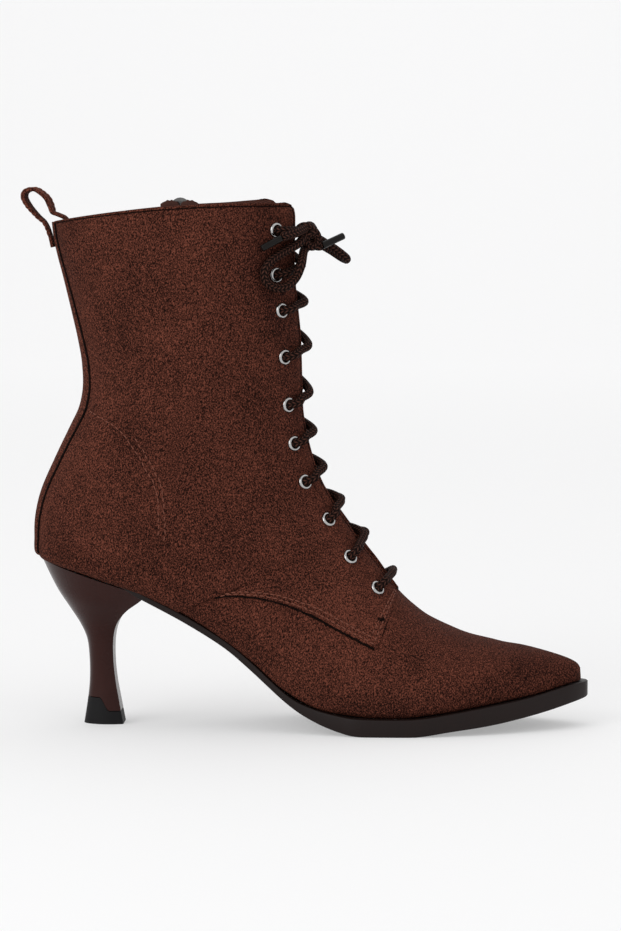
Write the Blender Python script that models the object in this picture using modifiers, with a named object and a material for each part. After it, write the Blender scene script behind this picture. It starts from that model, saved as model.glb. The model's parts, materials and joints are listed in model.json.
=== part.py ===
"""Heeled lace-up ankle boot, right foot: toe at +X, outer (lateral) side at -Y, floor at Z = 0.

Lengths in this file are millimetres. X is counted from the back of the heel, and one parent empty
moves the finished boot so that its origin is under the middle of its box.
"""

import math
from collections import namedtuple

import bmesh
import bpy
import numpy as np
from mathutils import Vector

MM = 0.001
GAP = 0.3

# Driving sizes of the boot.
ORIGIN_X = 119.7
ORIGIN_Y = 0.6
WALL = 1.6
QUARTER_STEP = 0.9
COLUMNS = 10
LATERAL = -1
MEDIAL = 1

# One row for each section of the last, from the toe tip back to the heel and up to the collar.
# front_: point on the vamp ridge or shaft front; base_: point on the feather line or the back.
# lat, med: half widths; lat_base, med_base: half widths of the open underside (0 where the back closes).
# widest: where along the section it is widest; lat_gap, med_gap: throat edges from the middle plane.
# rise: how far the section bulges upward; lift: how far the front of its medial half is drawn up;
# steps: stations from this row to the next.
Section = namedtuple(
    "Section",
    "front_x front_z base_x base_z lat med lat_base med_base widest lat_gap med_gap rise lift steps",
)
SECTIONS = [
    Section(241.6, 25.2, 241.8, 20.2, 0.0, 0.0, 0.0, 0.0, 0.70, 0.0, 0.0, 0.0, 0.0, 1),
    Section(239.6, 27.9, 239.9, 20.1, 5.6, 5.2, 4.6, 4.3, 0.70, 0.0, 0.0, 0.0, 0.0, 1),
    Section(233.0, 30.8, 233.5, 19.0, 12.6, 11.4, 11.2, 10.2, 0.70, 0.0, 0.0, 0.0, 0.0, 1),
    Section(219.0, 34.7, 219.0, 15.6, 22.6, 20.0, 20.4, 18.0, 0.71, 0.0, 0.0, 0.0, 0.0, 2),
    Section(203.0, 37.8, 201.0, 12.7, 31.4, 28.8, 28.4, 26.2, 0.72, 0.0, 0.0, 0.0, 0.0, 1),
    Section(189.0, 41.2, 183.0, 9.9, 37.6, 36.4, 34.2, 33.4, 0.73, 0.0, 0.0, 0.0, 0.0, 1),
    Section(176.0, 47.5, 165.0, 7.9, 40.6, 40.0, 37.2, 36.0, 0.73, 0.0, 0.0, 0.0, 0.0, 1),
    Section(167.0, 53.8, 152.0, 7.9, 41.0, 39.4, 37.4, 34.4, 0.73, 0.0, 0.0, 0.0, 0.0, 1),
    Section(160.5, 60.1, 141.0, 8.6, 40.0, 37.4, 36.0, 31.6, 0.72, 6.0, 5.5, 0.0, 0.0, 1),
    Section(158.6, 62.7, 126.0, 11.3, 38.8, 35.6, 33.8, 28.8, 0.71, 6.5, 5.6, 0.0, 0.0, 1),
    Section(156.2, 65.9, 110.5, 19.8, 37.4, 34.4, 31.2, 26.6, 0.70, 7.0, 5.7, 0.0, 0.0, 1),
    Section(151.6, 72.6, 99.5, 29.4, 36.2, 33.5, 29.2, 25.6, 0.69, 7.0, 5.7, 0.0, 0.0, 1),
    Section(146.7, 78.9, 87.5, 38.7, 35.2, 32.9, 27.6, 25.2, 0.68, 7.0, 5.7, 0.0, 0.0, 1),
    Section(142.1, 85.2, 70.0, 50.2, 34.3, 32.5, 26.6, 25.2, 0.67, 6.3, 5.7, 0.0, 0.0, 1),
    Section(137.4, 91.8, 50.0, 60.2, 33.6, 32.2, 26.0, 25.4, 0.66, 5.6, 5.8, 0.0, 0.0, 1),
    Section(134.0, 96.9, 28.0, 67.8, 33.0, 32.0, 23.8, 23.6, 0.64, 5.3, 6.0, 0.0, 0.0, 1),
    Section(131.6, 101.1, 10.0, 73.0, 32.5, 31.8, 15.0, 15.0, 0.63, 5.0, 6.4, 0.0, 0.0, 1),
    Section(129.7, 104.4, 2.3, 75.4, 32.2, 31.6, 0.0, 0.0, 0.62, 4.9, 7.0, 0.0, 0.0, 1),
    Section(127.6, 108.1, 1.5, 83.4, 32.0, 31.4, 0.0, 0.0, 0.60, 4.8, 8.0, 0.0, 0.0, 1),
    Section(124.7, 115.3, 2.0, 92.8, 31.7, 31.2, 0.0, 0.0, 0.58, 5.0, 9.6, 0.0, 0.0, 1),
    Section(122.5, 122.7, 4.8, 104.0, 31.4, 31.0, 0.0, 0.0, 0.55, 5.2, 11.5, 0.0, 0.0, 1),
    Section(120.6, 131.3, 11.2, 118.4, 31.2, 31.0, 0.0, 0.0, 0.53, 5.8, 13.4, 0.0, 0.0, 1),
    Section(119.4, 140.1, 18.4, 133.6, 31.3, 31.1, 0.0, 0.0, 0.51, 6.4, 15.1, 0.0, 0.0, 1),
    Section(119.1, 151.0, 23.0, 147.0, 31.7, 31.5, 0.0, 0.0, 0.50, 7.0, 16.3, 0.0, 0.0, 1),
    Section(119.0, 162.0, 23.1, 159.4, 32.2, 32.0, 0.0, 0.0, 0.50, 7.6, 17.4, 0.0, 0.0, 1),
    Section(118.8, 172.4, 21.3, 170.8, 32.9, 32.7, 0.0, 0.0, 0.50, 8.1, 18.5, 0.0, 0.0, 1),
    Section(118.0, 182.6, 19.0, 181.2, 33.6, 33.4, 0.0, 0.0, 0.50, 8.6, 19.5, 0.2, 0.0, 1),
    Section(117.2, 191.0, 16.7, 191.0, 34.2, 34.1, 0.0, 0.0, 0.50, 9.0, 20.1, 0.4, 0.0, 1),
    Section(116.6, 200.0, 14.6, 199.6, 34.8, 34.7, 0.0, 0.0, 0.50, 9.4, 20.7, 0.8, 0.1, 1),
    Section(116.6, 209.0, 12.5, 207.6, 35.3, 35.3, 0.0, 0.0, 0.50, 9.6, 21.1, 1.2, 0.5, 1),
    Section(116.9, 218.7, 10.9, 214.8, 35.7, 35.7, 0.0, 0.0, 0.50, 9.8, 21.5, 1.8, 1.2, 1),
    Section(116.9, 230.5, 10.0, 222.6, 36.0, 36.0, 0.0, 0.0, 0.50, 10.0, 21.9, 2.8, 2.0, 0),
]
FLAP_ROW = 8
CORNER_ROW = 17
CROWN = 2.1
TURN_UNDER = 2.0
LIFT_REACH = 0.36
HALF_SAMPLES = 60

# Rounded front top corner of each quarter, and how far what cuts it reaches.
CORNER_RADIUS = 6.2
CORNER_STEPS = 6
CORNER_REACH = 15.0
CORNER_CUT_HALF = 14.0
CORNER_CUT_IN = 11.0

# Front lower edge of the quarter, seen from the side, from the throat down to the feather line.
SeamPoint = namedtuple("SeamPoint", "x z")
QUARTER_EDGE = [
    SeamPoint(164.0, 66.0),
    SeamPoint(160.4, 59.8),
    SeamPoint(157.2, 50.6),
    SeamPoint(153.4, 38.4),
    SeamPoint(150.6, 37.0),
    SeamPoint(135.5, 44.4),
    SeamPoint(120.8, 51.4),
    SeamPoint(104.8, 56.4),
    SeamPoint(90.2, 58.8),
    SeamPoint(81.7, 57.9),
    SeamPoint(75.0, 55.6),
    SeamPoint(66.9, 50.6),
    SeamPoint(58.0, 42.0),
]
QUARTER_BACK = -40.0
QUARTER_TOP = 260.0
QUARTER_CUT_HALF = 70.0
QUARTER_MARGIN = 0.4
QUARTER_SUNK = 0.8 * WALL

# Eyelets, lowest last: their row on the last and their way from the throat edge.
Eyelet = namedtuple("Eyelet", "row from_edge")
EYELETS = [
    Eyelet(29.99, 14.1),
    Eyelet(27.91, 14.0),
    Eyelet(26.14, 12.9),
    Eyelet(24.17, 13.3),
    Eyelet(22.28, 11.8),
    Eyelet(20.45, 11.5),
    Eyelet(18.28, 11.8),
    Eyelet(14.36, 11.5),
    Eyelet(12.16, 14.4),
    Eyelet(10.10, 13.7),
]
HOLE_RADIUS = 2.75
EYELET_BORE = 2.05
EYELET_BARREL = 2.4
EYELET_RIM = 3.15
EYELET_HEIGHT = 0.75
EYELET_DEPTH = 1.9
EYELET_CROWN = 0.5
EYELET_SIDES = 8
HOLE_CUT_DEPTH = 12.0

# Lace: how far it lies over the eyelets, over the facing and its edge, and in the middle of the throat.
LACE_RADIUS = 2.0
LACE_CLEAR = QUARTER_STEP + GAP + EYELET_HEIGHT + LACE_RADIUS + 0.5
LACE_FACING_IN = 5.5
LACE_FACING_OUT = 4.1
LACE_FACING_SHARE = 0.13
LACE_EDGE_IN = -0.5
LACE_EDGE_OUT = 3.7
LACE_EDGE_SHARE = 0.24
LACE_CROSS_OUT = 0.4
LACE_CROSS_MAX_DEPTH = 4.4
LACE_PAST_MIDDLE = 2.0
LACE_SMOOTH = 1.0

# Outsole stations from the toe tip to the skived end under the heel seat.
SoleRow = namedtuple("SoleRow", "x top bottom lat med")
SOLE = [
    SoleRow(244.8, 19.8, 13.5, 0.4, 0.4),
    SoleRow(243.4, 19.9, 12.9, 5.2, 4.9),
    SoleRow(238.0, 19.4, 11.6, 11.6, 10.6),
    SoleRow(228.0, 17.3, 9.1, 19.0, 16.8),
    SoleRow(215.4, 14.6, 6.5, 26.8, 23.8),
    SoleRow(201.0, 12.4, 4.0, 33.4, 30.8),
    SoleRow(184.0, 9.8, 2.0, 39.2, 38.0),
    SoleRow(168.0, 7.8, 0.0, 42.0, 41.4),
    SoleRow(146.0, 7.8, 0.0, 42.0, 37.6),
    SoleRow(136.0, 8.8, 1.6, 39.4, 34.0),
    SoleRow(124.3, 11.6, 6.1, 36.2, 30.4),
    SoleRow(113.0, 17.2, 13.2, 33.6, 28.2),
    SoleRow(96.0, 31.7, 28.2, 30.0, 26.4),
    SoleRow(84.6, 40.2, 37.5, 28.2, 26.0),
    SoleRow(68.0, 49.9, 48.2, 27.2, 26.0),
    SoleRow(51.0, 58.5, 56.8, 26.4, 25.8),
]
SOLE_EDGE_ROUND = 0.7

# Heel sections from the seat down to the floor, each from its back point to its breast.
HeelRow = namedtuple("HeelRow", "back_x back_z breast_x breast_z half rise")
HEEL = [
    HeelRow(3.1, 73.9, 50.6, 58.6, 25.4, 0.5),
    HeelRow(6.7, 66.0, 47.2, 55.6, 22.0, 0.2),
    HeelRow(10.4, 59.0, 42.0, 51.7, 18.4, 0.0),
    HeelRow(15.4, 51.4, 38.5, 47.8, 14.2, 0.0),
    HeelRow(19.8, 44.5, 36.1, 43.4, 10.6, 0.0),
    HeelRow(22.8, 37.4, 34.9, 37.2, 8.2, 0.0),
    HeelRow(23.8, 28.0, 34.9, 28.0, 6.9, 0.0),
    HeelRow(23.8, 19.0, 35.8, 19.0, 6.6, 0.0),
    HeelRow(23.0, 11.0, 37.2, 11.0, 7.0, 0.0),
    HeelRow(21.3, 0.0, 39.2, 0.0, 7.8, 0.0),
]
HEEL_SIDE_POINTS = 9
HEEL_ROUND_SHARE = 0.6
HEEL_BREAST_DRAW = 0.16
TIP_HIGH = 11.6
TIP_LOW = 6.0
TIP_WAVE_FROM = 28.5
TIP_WAVE_TO = 33.0
TIP_WAVE_STEPS = 6
WAVE_CUT_BACK = -20.0
WAVE_CUT_FRONT = 80.0
WAVE_CUT_TOP = 120.0
WAVE_CUT_LOW = -40.0
WAVE_CUT_HALF = 60.0

INSOLE_THICK = 2.0
INSOLE_INSET = 2.4
INSOLE_TOE = 232.0
INSOLE_SEAT = 30.0
INSOLE_TURN = 25.0
INSOLE_HEEL = 14.0
INSOLE_STATIONS = 17
TONGUE_THICK = 1.8
TONGUE_DEPTH = 5.0
TONGUE_HALF = 21.0
TONGUE_TOP_ROW = 30.6
TONGUE_LOW_ROW = 7.6
TONGUE_TUCK = 0.4
TONGUE_TUCK_ROWS = 3.0
TONGUE_DRAW = 0.10
TONGUE_SHARES = (-1.0, -0.5, 0.0, 0.5, 1.0)
StripWidth = namedtuple("StripWidth", "row half")
STRIP_WIDTHS = [
    StripWidth(17.0, 7.0),
    StripWidth(19.0, 8.6),
    StripWidth(21.0, 10.2),
    StripWidth(22.5, 11.4),
    StripWidth(24.0, 11.0),
    StripWidth(26.0, 9.4),
    StripWidth(28.5, 7.8),
    StripWidth(31.0, 7.0),
]
STRIP_THICK = 0.7
STRIP_LOW_CUT = 0.25
STRIP_TOP_CUT = 0.1
STRIP_SHARES = (-1.0, -0.5, 0.0, 0.5, 1.0)
BAND_THICK = 1.4
BAND_WIDTH = 8.0
BAND_TURN = math.radians(9)
BAND_TURN_FROM = 222.0
BAND_TURN_OVER = 8.0
BAND_STATIONS = 27

# Pull loop route in the middle plane, from the outside tail over the top to the inside tail.
LoopPoint = namedtuple("LoopPoint", "x z")
PULL_LOOP = [
    LoopPoint(8.5, 211.0),
    LoopPoint(7.0, 217.4),
    LoopPoint(5.0, 221.8),
    LoopPoint(2.1, 224.5),
    LoopPoint(-1.8, 228.9),
    LoopPoint(-3.8, 232.4),
    LoopPoint(-3.7, 234.7),
    LoopPoint(-2.2, 236.0),
    LoopPoint(0.3, 236.4),
    LoopPoint(2.7, 235.4),
    LoopPoint(5.9, 232.6),
    LoopPoint(7.6, 229.1),
    LoopPoint(8.6, 226.3),
    LoopPoint(10.9, 225.3),
    LoopPoint(14.3, 223.4),
    LoopPoint(16.1, 218.4),
    LoopPoint(16.4, 212.0),
]

# Zip on the inner side.
ZIP_X = 62.0
ZIP_SLIT = 7.0
ZIP_LOW = 72.0
ZIP_CUT_TOP = 250.0
ZIP_CUT_HALF = 25.0
ZIP_CUT_MIDDLE = 32.0
ZIP_STATIONS = 12
ZIP_TAPE_HALF = 9.0
ZIP_TAPE_THICK = 0.7
ZIP_TAPE_GAP = 1.0
ZIP_TAPE_BELOW = 6.0
ZIP_TAPE_TOP = 231.0
ZIP_TEETH_WIDE = 5.0
ZIP_TEETH_THICK = 1.8
ZIP_TEETH_OFF = 0.5
ZIP_TEETH_ABOVE = 1.0
SLIDER_Z = 227.4
SLIDER_SIZE = (8.4, 3.4, 9.6)
SLIDER_BEVEL = 0.8
BAIL_SIZE = (3.0, 3.2, 5.6)
BAIL_WINDOW = (8.0, 2.0, 3.6)
BAIL_SUNK = 0.4
TAB_SIZE = (7.0, 1.2, 24.0)
TAB_BEVEL = 0.3
TAB_BAR = 1.2
TAB_HOLE = (3.9, 3.8)

# Lace bow, by hand in the side view; y is counted from the middle plane.
CordPoint = namedtuple("CordPoint", "x y z")
LOOP_LATERAL = [
    CordPoint(120.1, -11.7, 214.5),
    CordPoint(117.7, -17.5, 213.2),
    CordPoint(111.8, -22.5, 209.6),
    CordPoint(106.2, -26.7, 205.8),
    CordPoint(103.4, -28.7, 201.6),
    CordPoint(103.8, -28.3, 197.0),
    CordPoint(107.4, -26.6, 194.2),
    CordPoint(112.2, -24.4, 194.3),
    CordPoint(116.3, -22.0, 197.9),
    CordPoint(118.8, -21.6, 203.5),
    CordPoint(119.4, -15.4, 208.5),
    CordPoint(119.6, -11.0, 210.3),
]
LOOP_MEDIAL = [
    CordPoint(124.9, -1.5, 215.1),
    CordPoint(128.8, 0.5, 212.7),
    CordPoint(133.2, 2.5, 209.8),
    CordPoint(136.8, 5.0, 206.9),
    CordPoint(137.6, 8.4, 205.5),
    CordPoint(135.5, 11.4, 206.3),
    CordPoint(131.2, 10.0, 209.2),
    CordPoint(126.9, 6.0, 212.1),
]
END_LATERAL = [
    CordPoint(119.7, -14.0, 218.7),
    CordPoint(116.5, -21.0, 217.6),
    CordPoint(113.2, -24.3, 216.6),
    CordPoint(110.7, -26.0, 215.7),
]
TIP_LATERAL = [CordPoint(110.0, -26.3, 215.4), CordPoint(102.0, -29.7, 211.0)]
END_MEDIAL = [CordPoint(125.6, -9.4, 210.8), CordPoint(127.5, -8.5, 211.7)]
TIP_MEDIAL = [CordPoint(128.0, -8.2, 212.0), CordPoint(136.8, -4.0, 216.2)]
KNOT_CENTRE = CordPoint(122.0, -7.0, 215.6)
KNOT_SIZE = (4.4, 4.6, 5.0)
LACE_TIP_RADIUS = 1.5
BOW_SMOOTH = 1.5

# Finishes: base colour, roughness, metallic.
Finish = namedtuple("Finish", "colour roughness metallic")
FINISHES = {
    "suede": Finish((0.070, 0.024, 0.015), 0.90, 0.0),
    "sole_rubber": Finish((0.022, 0.016, 0.014), 0.55, 0.0),
    "heel_lacquer": Finish((0.035, 0.014, 0.011), 0.16, 0.0),
    "black_rubber": Finish((0.012, 0.012, 0.012), 0.60, 0.0),
    "lining_cloth": Finish((0.045, 0.020, 0.014), 0.85, 0.0),
    "lace_braid": Finish((0.022, 0.010, 0.008), 0.80, 0.0),
    "eyelet_nickel": Finish((0.42, 0.41, 0.40), 0.25, 1.0),
    "zip_metal": Finish((0.30, 0.29, 0.28), 0.30, 1.0),
    "clear_tip": Finish((0.05, 0.045, 0.04), 0.20, 0.0),
}


def clear_scene():
    for old in list(bpy.data.objects):
        bpy.data.objects.remove(old, do_unlink=True)


def new_collection(name):
    made = bpy.data.collections.new(name)
    bpy.context.scene.collection.children.link(made)
    return made


def new_material(name):
    finish = FINISHES[name]
    made = bpy.data.materials.new(name)
    made.use_nodes = True
    shader = made.node_tree.nodes["Principled BSDF"]
    shader.inputs["Base Color"].default_value = (*finish.colour, 1.0)
    shader.inputs["Roughness"].default_value = finish.roughness
    shader.inputs["Metallic"].default_value = finish.metallic
    return made


def spline(values, at):
    """Value at a fractional row of a list, along a smooth curve through its rows."""
    last = len(values) - 1
    at = min(max(at, 0.0), float(last))
    row = min(int(at), last - 1)
    part = at - row
    near = [np.asarray(values[min(max(row + k, 0), last)], float) for k in (-1, 0, 1, 2)]
    start = (near[2] - near[0]) / 2
    end = (near[3] - near[1]) / 2
    p2, p3 = part * part, part**3
    return (
        near[1] * (2 * p3 - 3 * p2 + 1)
        + start * (p3 - 2 * p2 + part)
        + near[2] * (3 * p2 - 2 * p3)
        + end * (p3 - p2)
    )


def section_at(row):
    made = Section(*spline(SECTIONS, row))
    closed = row >= CORNER_ROW
    return made._replace(
        lat_base=0.0 if closed else max(made.lat_base, 0.0),
        med_base=0.0 if closed else max(made.med_base, 0.0),
        lat_gap=max(made.lat_gap, 0.0) if row >= FLAP_ROW else 0.0,
        med_gap=max(made.med_gap, 0.0) if row >= FLAP_ROW else 0.0,
    )


def half_section(row, side):
    """Points of one half of a section, from the ridge or shaft front to the feather line or back."""
    s = section_at(row)
    half, base = (s.lat, s.lat_base) if side == LATERAL else (s.med, s.med_base)
    turn = np.linspace(0, math.pi / 2, HALF_SAMPLES)
    over = s.widest * (1 - np.cos(turn) ** (2 / CROWN))
    under = s.widest + (1 - s.widest) * np.sin(turn) ** (2 / TURN_UNDER)
    along = np.concatenate([over, under[1:]])
    out_over = half * np.sin(turn) ** (2 / CROWN)
    out_under = base + (half - base) * np.cos(turn) ** (2 / TURN_UNDER)
    out = np.concatenate([out_over, out_under[1:]])
    front = np.array([s.front_x, s.front_z])
    base_point = np.array([s.base_x, s.base_z])
    run = base_point - front
    up = np.array([run[1], -run[0]]) / np.linalg.norm(run)
    bulge = 4 * along * (1 - along) * s.rise
    flat = front + np.outer(along, run) + np.outer(bulge, up)
    if side == MEDIAL:
        near = np.clip(1 - along / LIFT_REACH, 0.0, 1.0)
        flat[:, 1] += s.lift * near * near * (3 - 2 * near)
    return np.column_stack([flat[:, 0], side * out, flat[:, 1]])


def arc_lengths(points):
    return np.concatenate([[0.0], np.cumsum(np.linalg.norm(np.diff(points, axis=0), axis=1))])


def point_along(points, distance):
    """Point a given way along a polyline."""
    lengths = arc_lengths(points)
    return np.array([np.interp(distance, lengths, points[:, k]) for k in range(3)])


def throat_start(row, side):
    """How far along the half section the throat edge lies."""
    s = section_at(row)
    gap = s.lat_gap if side == LATERAL else s.med_gap
    points = half_section(row, side)
    top = points[:HALF_SAMPLES]
    return float(np.interp(gap, np.abs(top[:, 1]), arc_lengths(top)))


def skin_point(row, side, from_edge):
    """Point on the outer skin a given way from the throat edge."""
    return point_along(half_section(row, side), throat_start(row, side) + from_edge)


def skin_normal(row, side, from_edge):
    step = 0.05
    along = skin_point(min(row + step, len(SECTIONS) - 1), side, from_edge)
    along = along - skin_point(row - step, side, from_edge)
    across = skin_point(row, side, from_edge + 1.0) - skin_point(row, side, max(from_edge - 1.0, -2.0))
    normal = np.cross(across, along) * side
    return normal / np.linalg.norm(normal)


def offset_point(row, side, from_edge, out):
    return skin_point(row, side, from_edge) + skin_normal(row, side, from_edge) * out


def station_rows():
    rows = []
    for number, section in enumerate(SECTIONS):
        steps = max(section.steps, 1)
        rows += [number + k / steps for k in range(steps)]
    return rows


def mesh_from(points, faces, name):
    """A mesh in metres with doubled points merged and faces pointing outwards."""
    made = bpy.data.meshes.new(name)
    made.from_pydata([tuple(float(c) * MM for c in p) for p in points], [], faces)
    work = bmesh.new()
    work.from_mesh(made)
    bmesh.ops.remove_doubles(work, verts=work.verts, dist=0.00002)
    bmesh.ops.recalc_face_normals(work, faces=work.faces)
    work.to_mesh(made)
    work.free()
    made.shade_smooth()
    made.set_sharp_from_angle(angle=math.radians(40))
    return made


def add_object(name, mesh, collection, material=None, parent=None):
    made = bpy.data.objects.new(name, mesh)
    collection.objects.link(made)
    made.parent = parent
    if material is not None:
        mesh.materials.append(material)
    return made


def add_cutter(name, mesh, collection, parent):
    made = add_object(name, mesh, collection, parent=parent)
    made.hide_render = True
    made.display_type = "WIRE"
    return made


def cut(target, cutter, operation, solver="EXACT"):
    modifier = target.modifiers.new(f"{operation.lower()}_{cutter.name}", "BOOLEAN")
    modifier.operation = operation
    modifier.object = cutter
    modifier.solver = solver


def grid_faces(rows, columns):
    """Quads of a grid of points that is stored row by row."""
    faces = []
    for r in range(rows - 1):
        for c in range(columns - 1):
            a = r * columns + c
            faces.append((a, a + 1, a + columns + 1, a + columns))
    return faces


def lofted(rings, name, capped=True):
    """A closed loft through rings of the same number of points."""
    count = len(rings[0])
    points = [p for ring in rings for p in ring]
    faces = []
    for r in range(len(rings) - 1):
        for c in range(count):
            a, b = r * count + c, r * count + (c + 1) % count
            faces.append((a, b, b + count, a + count))
    if capped:
        faces.append(tuple(range(count)))
        faces.append(tuple(range((len(rings) - 1) * count, len(rings) * count)))
    return mesh_from(points, faces, name)


def slab(outer, inner, rows, columns, name):
    """A closed sheet between two grids of points."""
    half = rows * columns
    faces = grid_faces(rows, columns)
    faces += [tuple(half + k for k in reversed(f)) for f in grid_faces(rows, columns)]
    rim = [c for c in range(columns)]
    rim += [r * columns + columns - 1 for r in range(1, rows)]
    rim += [(rows - 1) * columns + c for c in range(columns - 2, -1, -1)]
    rim += [r * columns for r in range(rows - 2, 0, -1)]
    for k, a in enumerate(rim):
        b = rim[(k + 1) % len(rim)]
        faces.append((a, b, half + b, half + a))
    return mesh_from(list(outer) + list(inner), faces, name)


def prism(outline, half_width, name, middle=0.0):
    """A flat outline in the side view, drawn out sideways."""
    rings = [[(x, middle + y, z) for x, z in outline] for y in (-half_width, half_width)]
    return lofted(rings, name)


def skin_mesh(out, name, margin=0.0):
    """The boot's open outer surface, moved outwards, with its free edges set in by a margin."""
    points, faces = [], []
    rows = station_rows()
    for side in (LATERAL, MEDIAL):
        base = len(points)
        for row in rows:
            total = arc_lengths(half_section(row, side))[-1] - throat_start(row, side)
            inset = margin if row >= FLAP_ROW else 0.0
            at_row = row - (margin / 12 if row == rows[-1] else 0.0)
            for from_edge in np.linspace(inset, total, COLUMNS + 1):
                normal = skin_normal(at_row, side, from_edge) if row > 0 else np.array([1.0, 0, 0])
                centred = section_at(row).lat_gap == 0.0 and from_edge == 0.0
                closes = row >= CORNER_ROW and from_edge == total
                if centred or closes:
                    normal = normal * np.array([1.0, 0.0, 1.0])
                    normal = normal / np.linalg.norm(normal)
                points.append(skin_point(at_row, side, from_edge) + normal * out)
        faces += [tuple(base + k for k in f) for f in grid_faces(len(rows), COLUMNS + 1)]
    return mesh_from(points, faces, name)


def thicken(target, thickness):
    modifier = target.modifiers.new("wall", "SOLIDIFY")
    modifier.thickness = thickness * MM
    modifier.offset = -1.0
    modifier.use_even_offset = True


def eyelet_frame(eyelet, side):
    """Where an eyelet sits on the quarter, with its Z axis pointing out of the boot."""
    centre = offset_point(eyelet.row, side, eyelet.from_edge, QUARTER_STEP)
    normal = Vector(skin_normal(eyelet.row, side, eyelet.from_edge))
    frame = normal.to_track_quat("Z", "Y").to_matrix().to_4x4()
    frame.translation = Vector(centre) * MM
    return frame


def eyelet_cutters(name):
    work = bmesh.new()
    for eyelet in EYELETS:
        for side in (LATERAL, MEDIAL):
            bmesh.ops.create_cone(
                work,
                cap_ends=True,
                segments=EYELET_SIDES,
                radius1=HOLE_RADIUS * MM,
                radius2=HOLE_RADIUS * MM,
                depth=HOLE_CUT_DEPTH * MM,
                matrix=eyelet_frame(eyelet, side),
            )
    made = bpy.data.meshes.new(name)
    work.to_mesh(made)
    work.free()
    return made


def zip_slit_mesh(name):
    outline = [
        (ZIP_X - ZIP_SLIT / 2, ZIP_LOW),
        (ZIP_X + ZIP_SLIT / 2, ZIP_LOW),
        (ZIP_X + ZIP_SLIT / 2, ZIP_CUT_TOP),
        (ZIP_X - ZIP_SLIT / 2, ZIP_CUT_TOP),
    ]
    return prism(outline, ZIP_CUT_HALF, name, middle=ZIP_CUT_MIDDLE)


def collar_corner_mesh(side, name):
    """What is cut from the front top corner of a quarter to round it."""
    edge = skin_point(len(SECTIONS) - 1, side, 0.0)
    centre = (edge[0] - CORNER_RADIUS, edge[2] - CORNER_RADIUS + QUARTER_STEP)
    outline = []
    for k in range(CORNER_STEPS + 1):
        turn = math.pi / 2 * k / CORNER_STEPS
        x = centre[0] + CORNER_RADIUS * math.sin(turn)
        z = centre[1] + CORNER_RADIUS * math.cos(turn)
        outline.append((x, z))
    far_x, high_z = outline[-1][0] + CORNER_REACH, outline[0][1] + CORNER_REACH
    outline += [(far_x, outline[-1][1]), (far_x, high_z), (outline[0][0], high_z)]
    return prism(outline, CORNER_CUT_HALF, name, middle=edge[1] + side * CORNER_CUT_IN)


def build_upper(boot, parts, cutters, suede):
    upper = add_object("upper", skin_mesh(0.0, "upper"), parts, suede, boot)
    thicken(upper, WALL)
    blank = skin_mesh(QUARTER_STEP, "quarter_blank", QUARTER_MARGIN)
    quarter = add_cutter("quarter_blank", blank, cutters, boot)
    thicken(quarter, QUARTER_STEP + QUARTER_SUNK)
    first, last = QUARTER_EDGE[0], QUARTER_EDGE[-1]
    behind = [(p.x, p.z) for p in QUARTER_EDGE]
    behind += [(QUARTER_BACK, last.z), (QUARTER_BACK, QUARTER_TOP), (first.x, QUARTER_TOP)]
    outline = prism(behind, QUARTER_CUT_HALF, "quarter_outline")
    cut(quarter, add_cutter("quarter_outline", outline, cutters, boot), "INTERSECT")
    cut(upper, quarter, "UNION")
    cut(upper, add_cutter("zip_slit", zip_slit_mesh("zip_slit"), cutters, boot), "DIFFERENCE")
    for side, name in ((LATERAL, "corner_lateral"), (MEDIAL, "corner_medial")):
        cut(upper, add_cutter(name, collar_corner_mesh(side, name), cutters, boot), "DIFFERENCE")
    cut(upper, add_cutter("eyelet_holes", eyelet_cutters("eyelet_holes"), cutters, boot), "DIFFERENCE")


def strip_half(row):
    """Half the back strip's width along the skin: widest at the ankle."""
    return float(np.interp(row, [w.row for w in STRIP_WIDTHS], [w.half for w in STRIP_WIDTHS]))


def build_back_strip(boot, parts, suede):
    rows = [r for r in station_rows() if r >= CORNER_ROW]
    rows[0] += STRIP_LOW_CUT
    rows[-1] -= STRIP_TOP_CUT
    grids = []
    for out in (QUARTER_STEP + GAP + STRIP_THICK, QUARTER_STEP + GAP):
        grid = []
        for row in rows:
            for share in STRIP_SHARES:
                side = LATERAL if share <= 0 else MEDIAL
                total = arc_lengths(half_section(row, side))[-1] - throat_start(row, side)
                from_edge = total - abs(share) * strip_half(row)
                normal = skin_normal(row, side, min(from_edge, total - 1.0))
                if share == 0.0:
                    normal = normal * np.array([1.0, 0.0, 1.0])
                    normal = normal / np.linalg.norm(normal)
                grid.append(skin_point(row, side, from_edge) + normal * out)
        grids.append(grid)
    mesh = slab(*grids, len(rows), len(STRIP_SHARES), "back_strip")
    add_object("back_strip", mesh, parts, suede, boot)


def tongue_depth(row):
    """How far the tongue lies inside the quarter: tucked under the vamp, then clear of the lace."""
    share = min(max((row - TONGUE_LOW_ROW) / TONGUE_TUCK_ROWS, 0.0), 1.0)
    return WALL + GAP + TONGUE_TUCK + share * TONGUE_DEPTH


def build_tongue(boot, parts, suede):
    rows = [r for r in station_rows() if TONGUE_LOW_ROW < r < TONGUE_TOP_ROW] + [TONGUE_TOP_ROW]
    grids = []
    for extra in (0.0, TONGUE_THICK):
        grid = []
        for row in rows:
            s = section_at(row)
            run = np.array([s.base_x - s.front_x, 0.0, s.base_z - s.front_z])
            run = run / np.linalg.norm(run)
            for share in TONGUE_SHARES:
                side = LATERAL if share <= 0 else MEDIAL
                half = half_section(row, side)
                point = point_along(half, abs(share) * TONGUE_HALF)
                inward = 1.0 - TONGUE_DRAW * abs(share)
                point = point * np.array([1.0, inward, 1.0])
                grid.append(point + run * (tongue_depth(row) + extra))
        grids.append(grid)
    mesh = slab(*grids, len(rows), len(TONGUE_SHARES), "tongue")
    add_object("tongue", mesh, parts, suede, boot)


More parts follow.
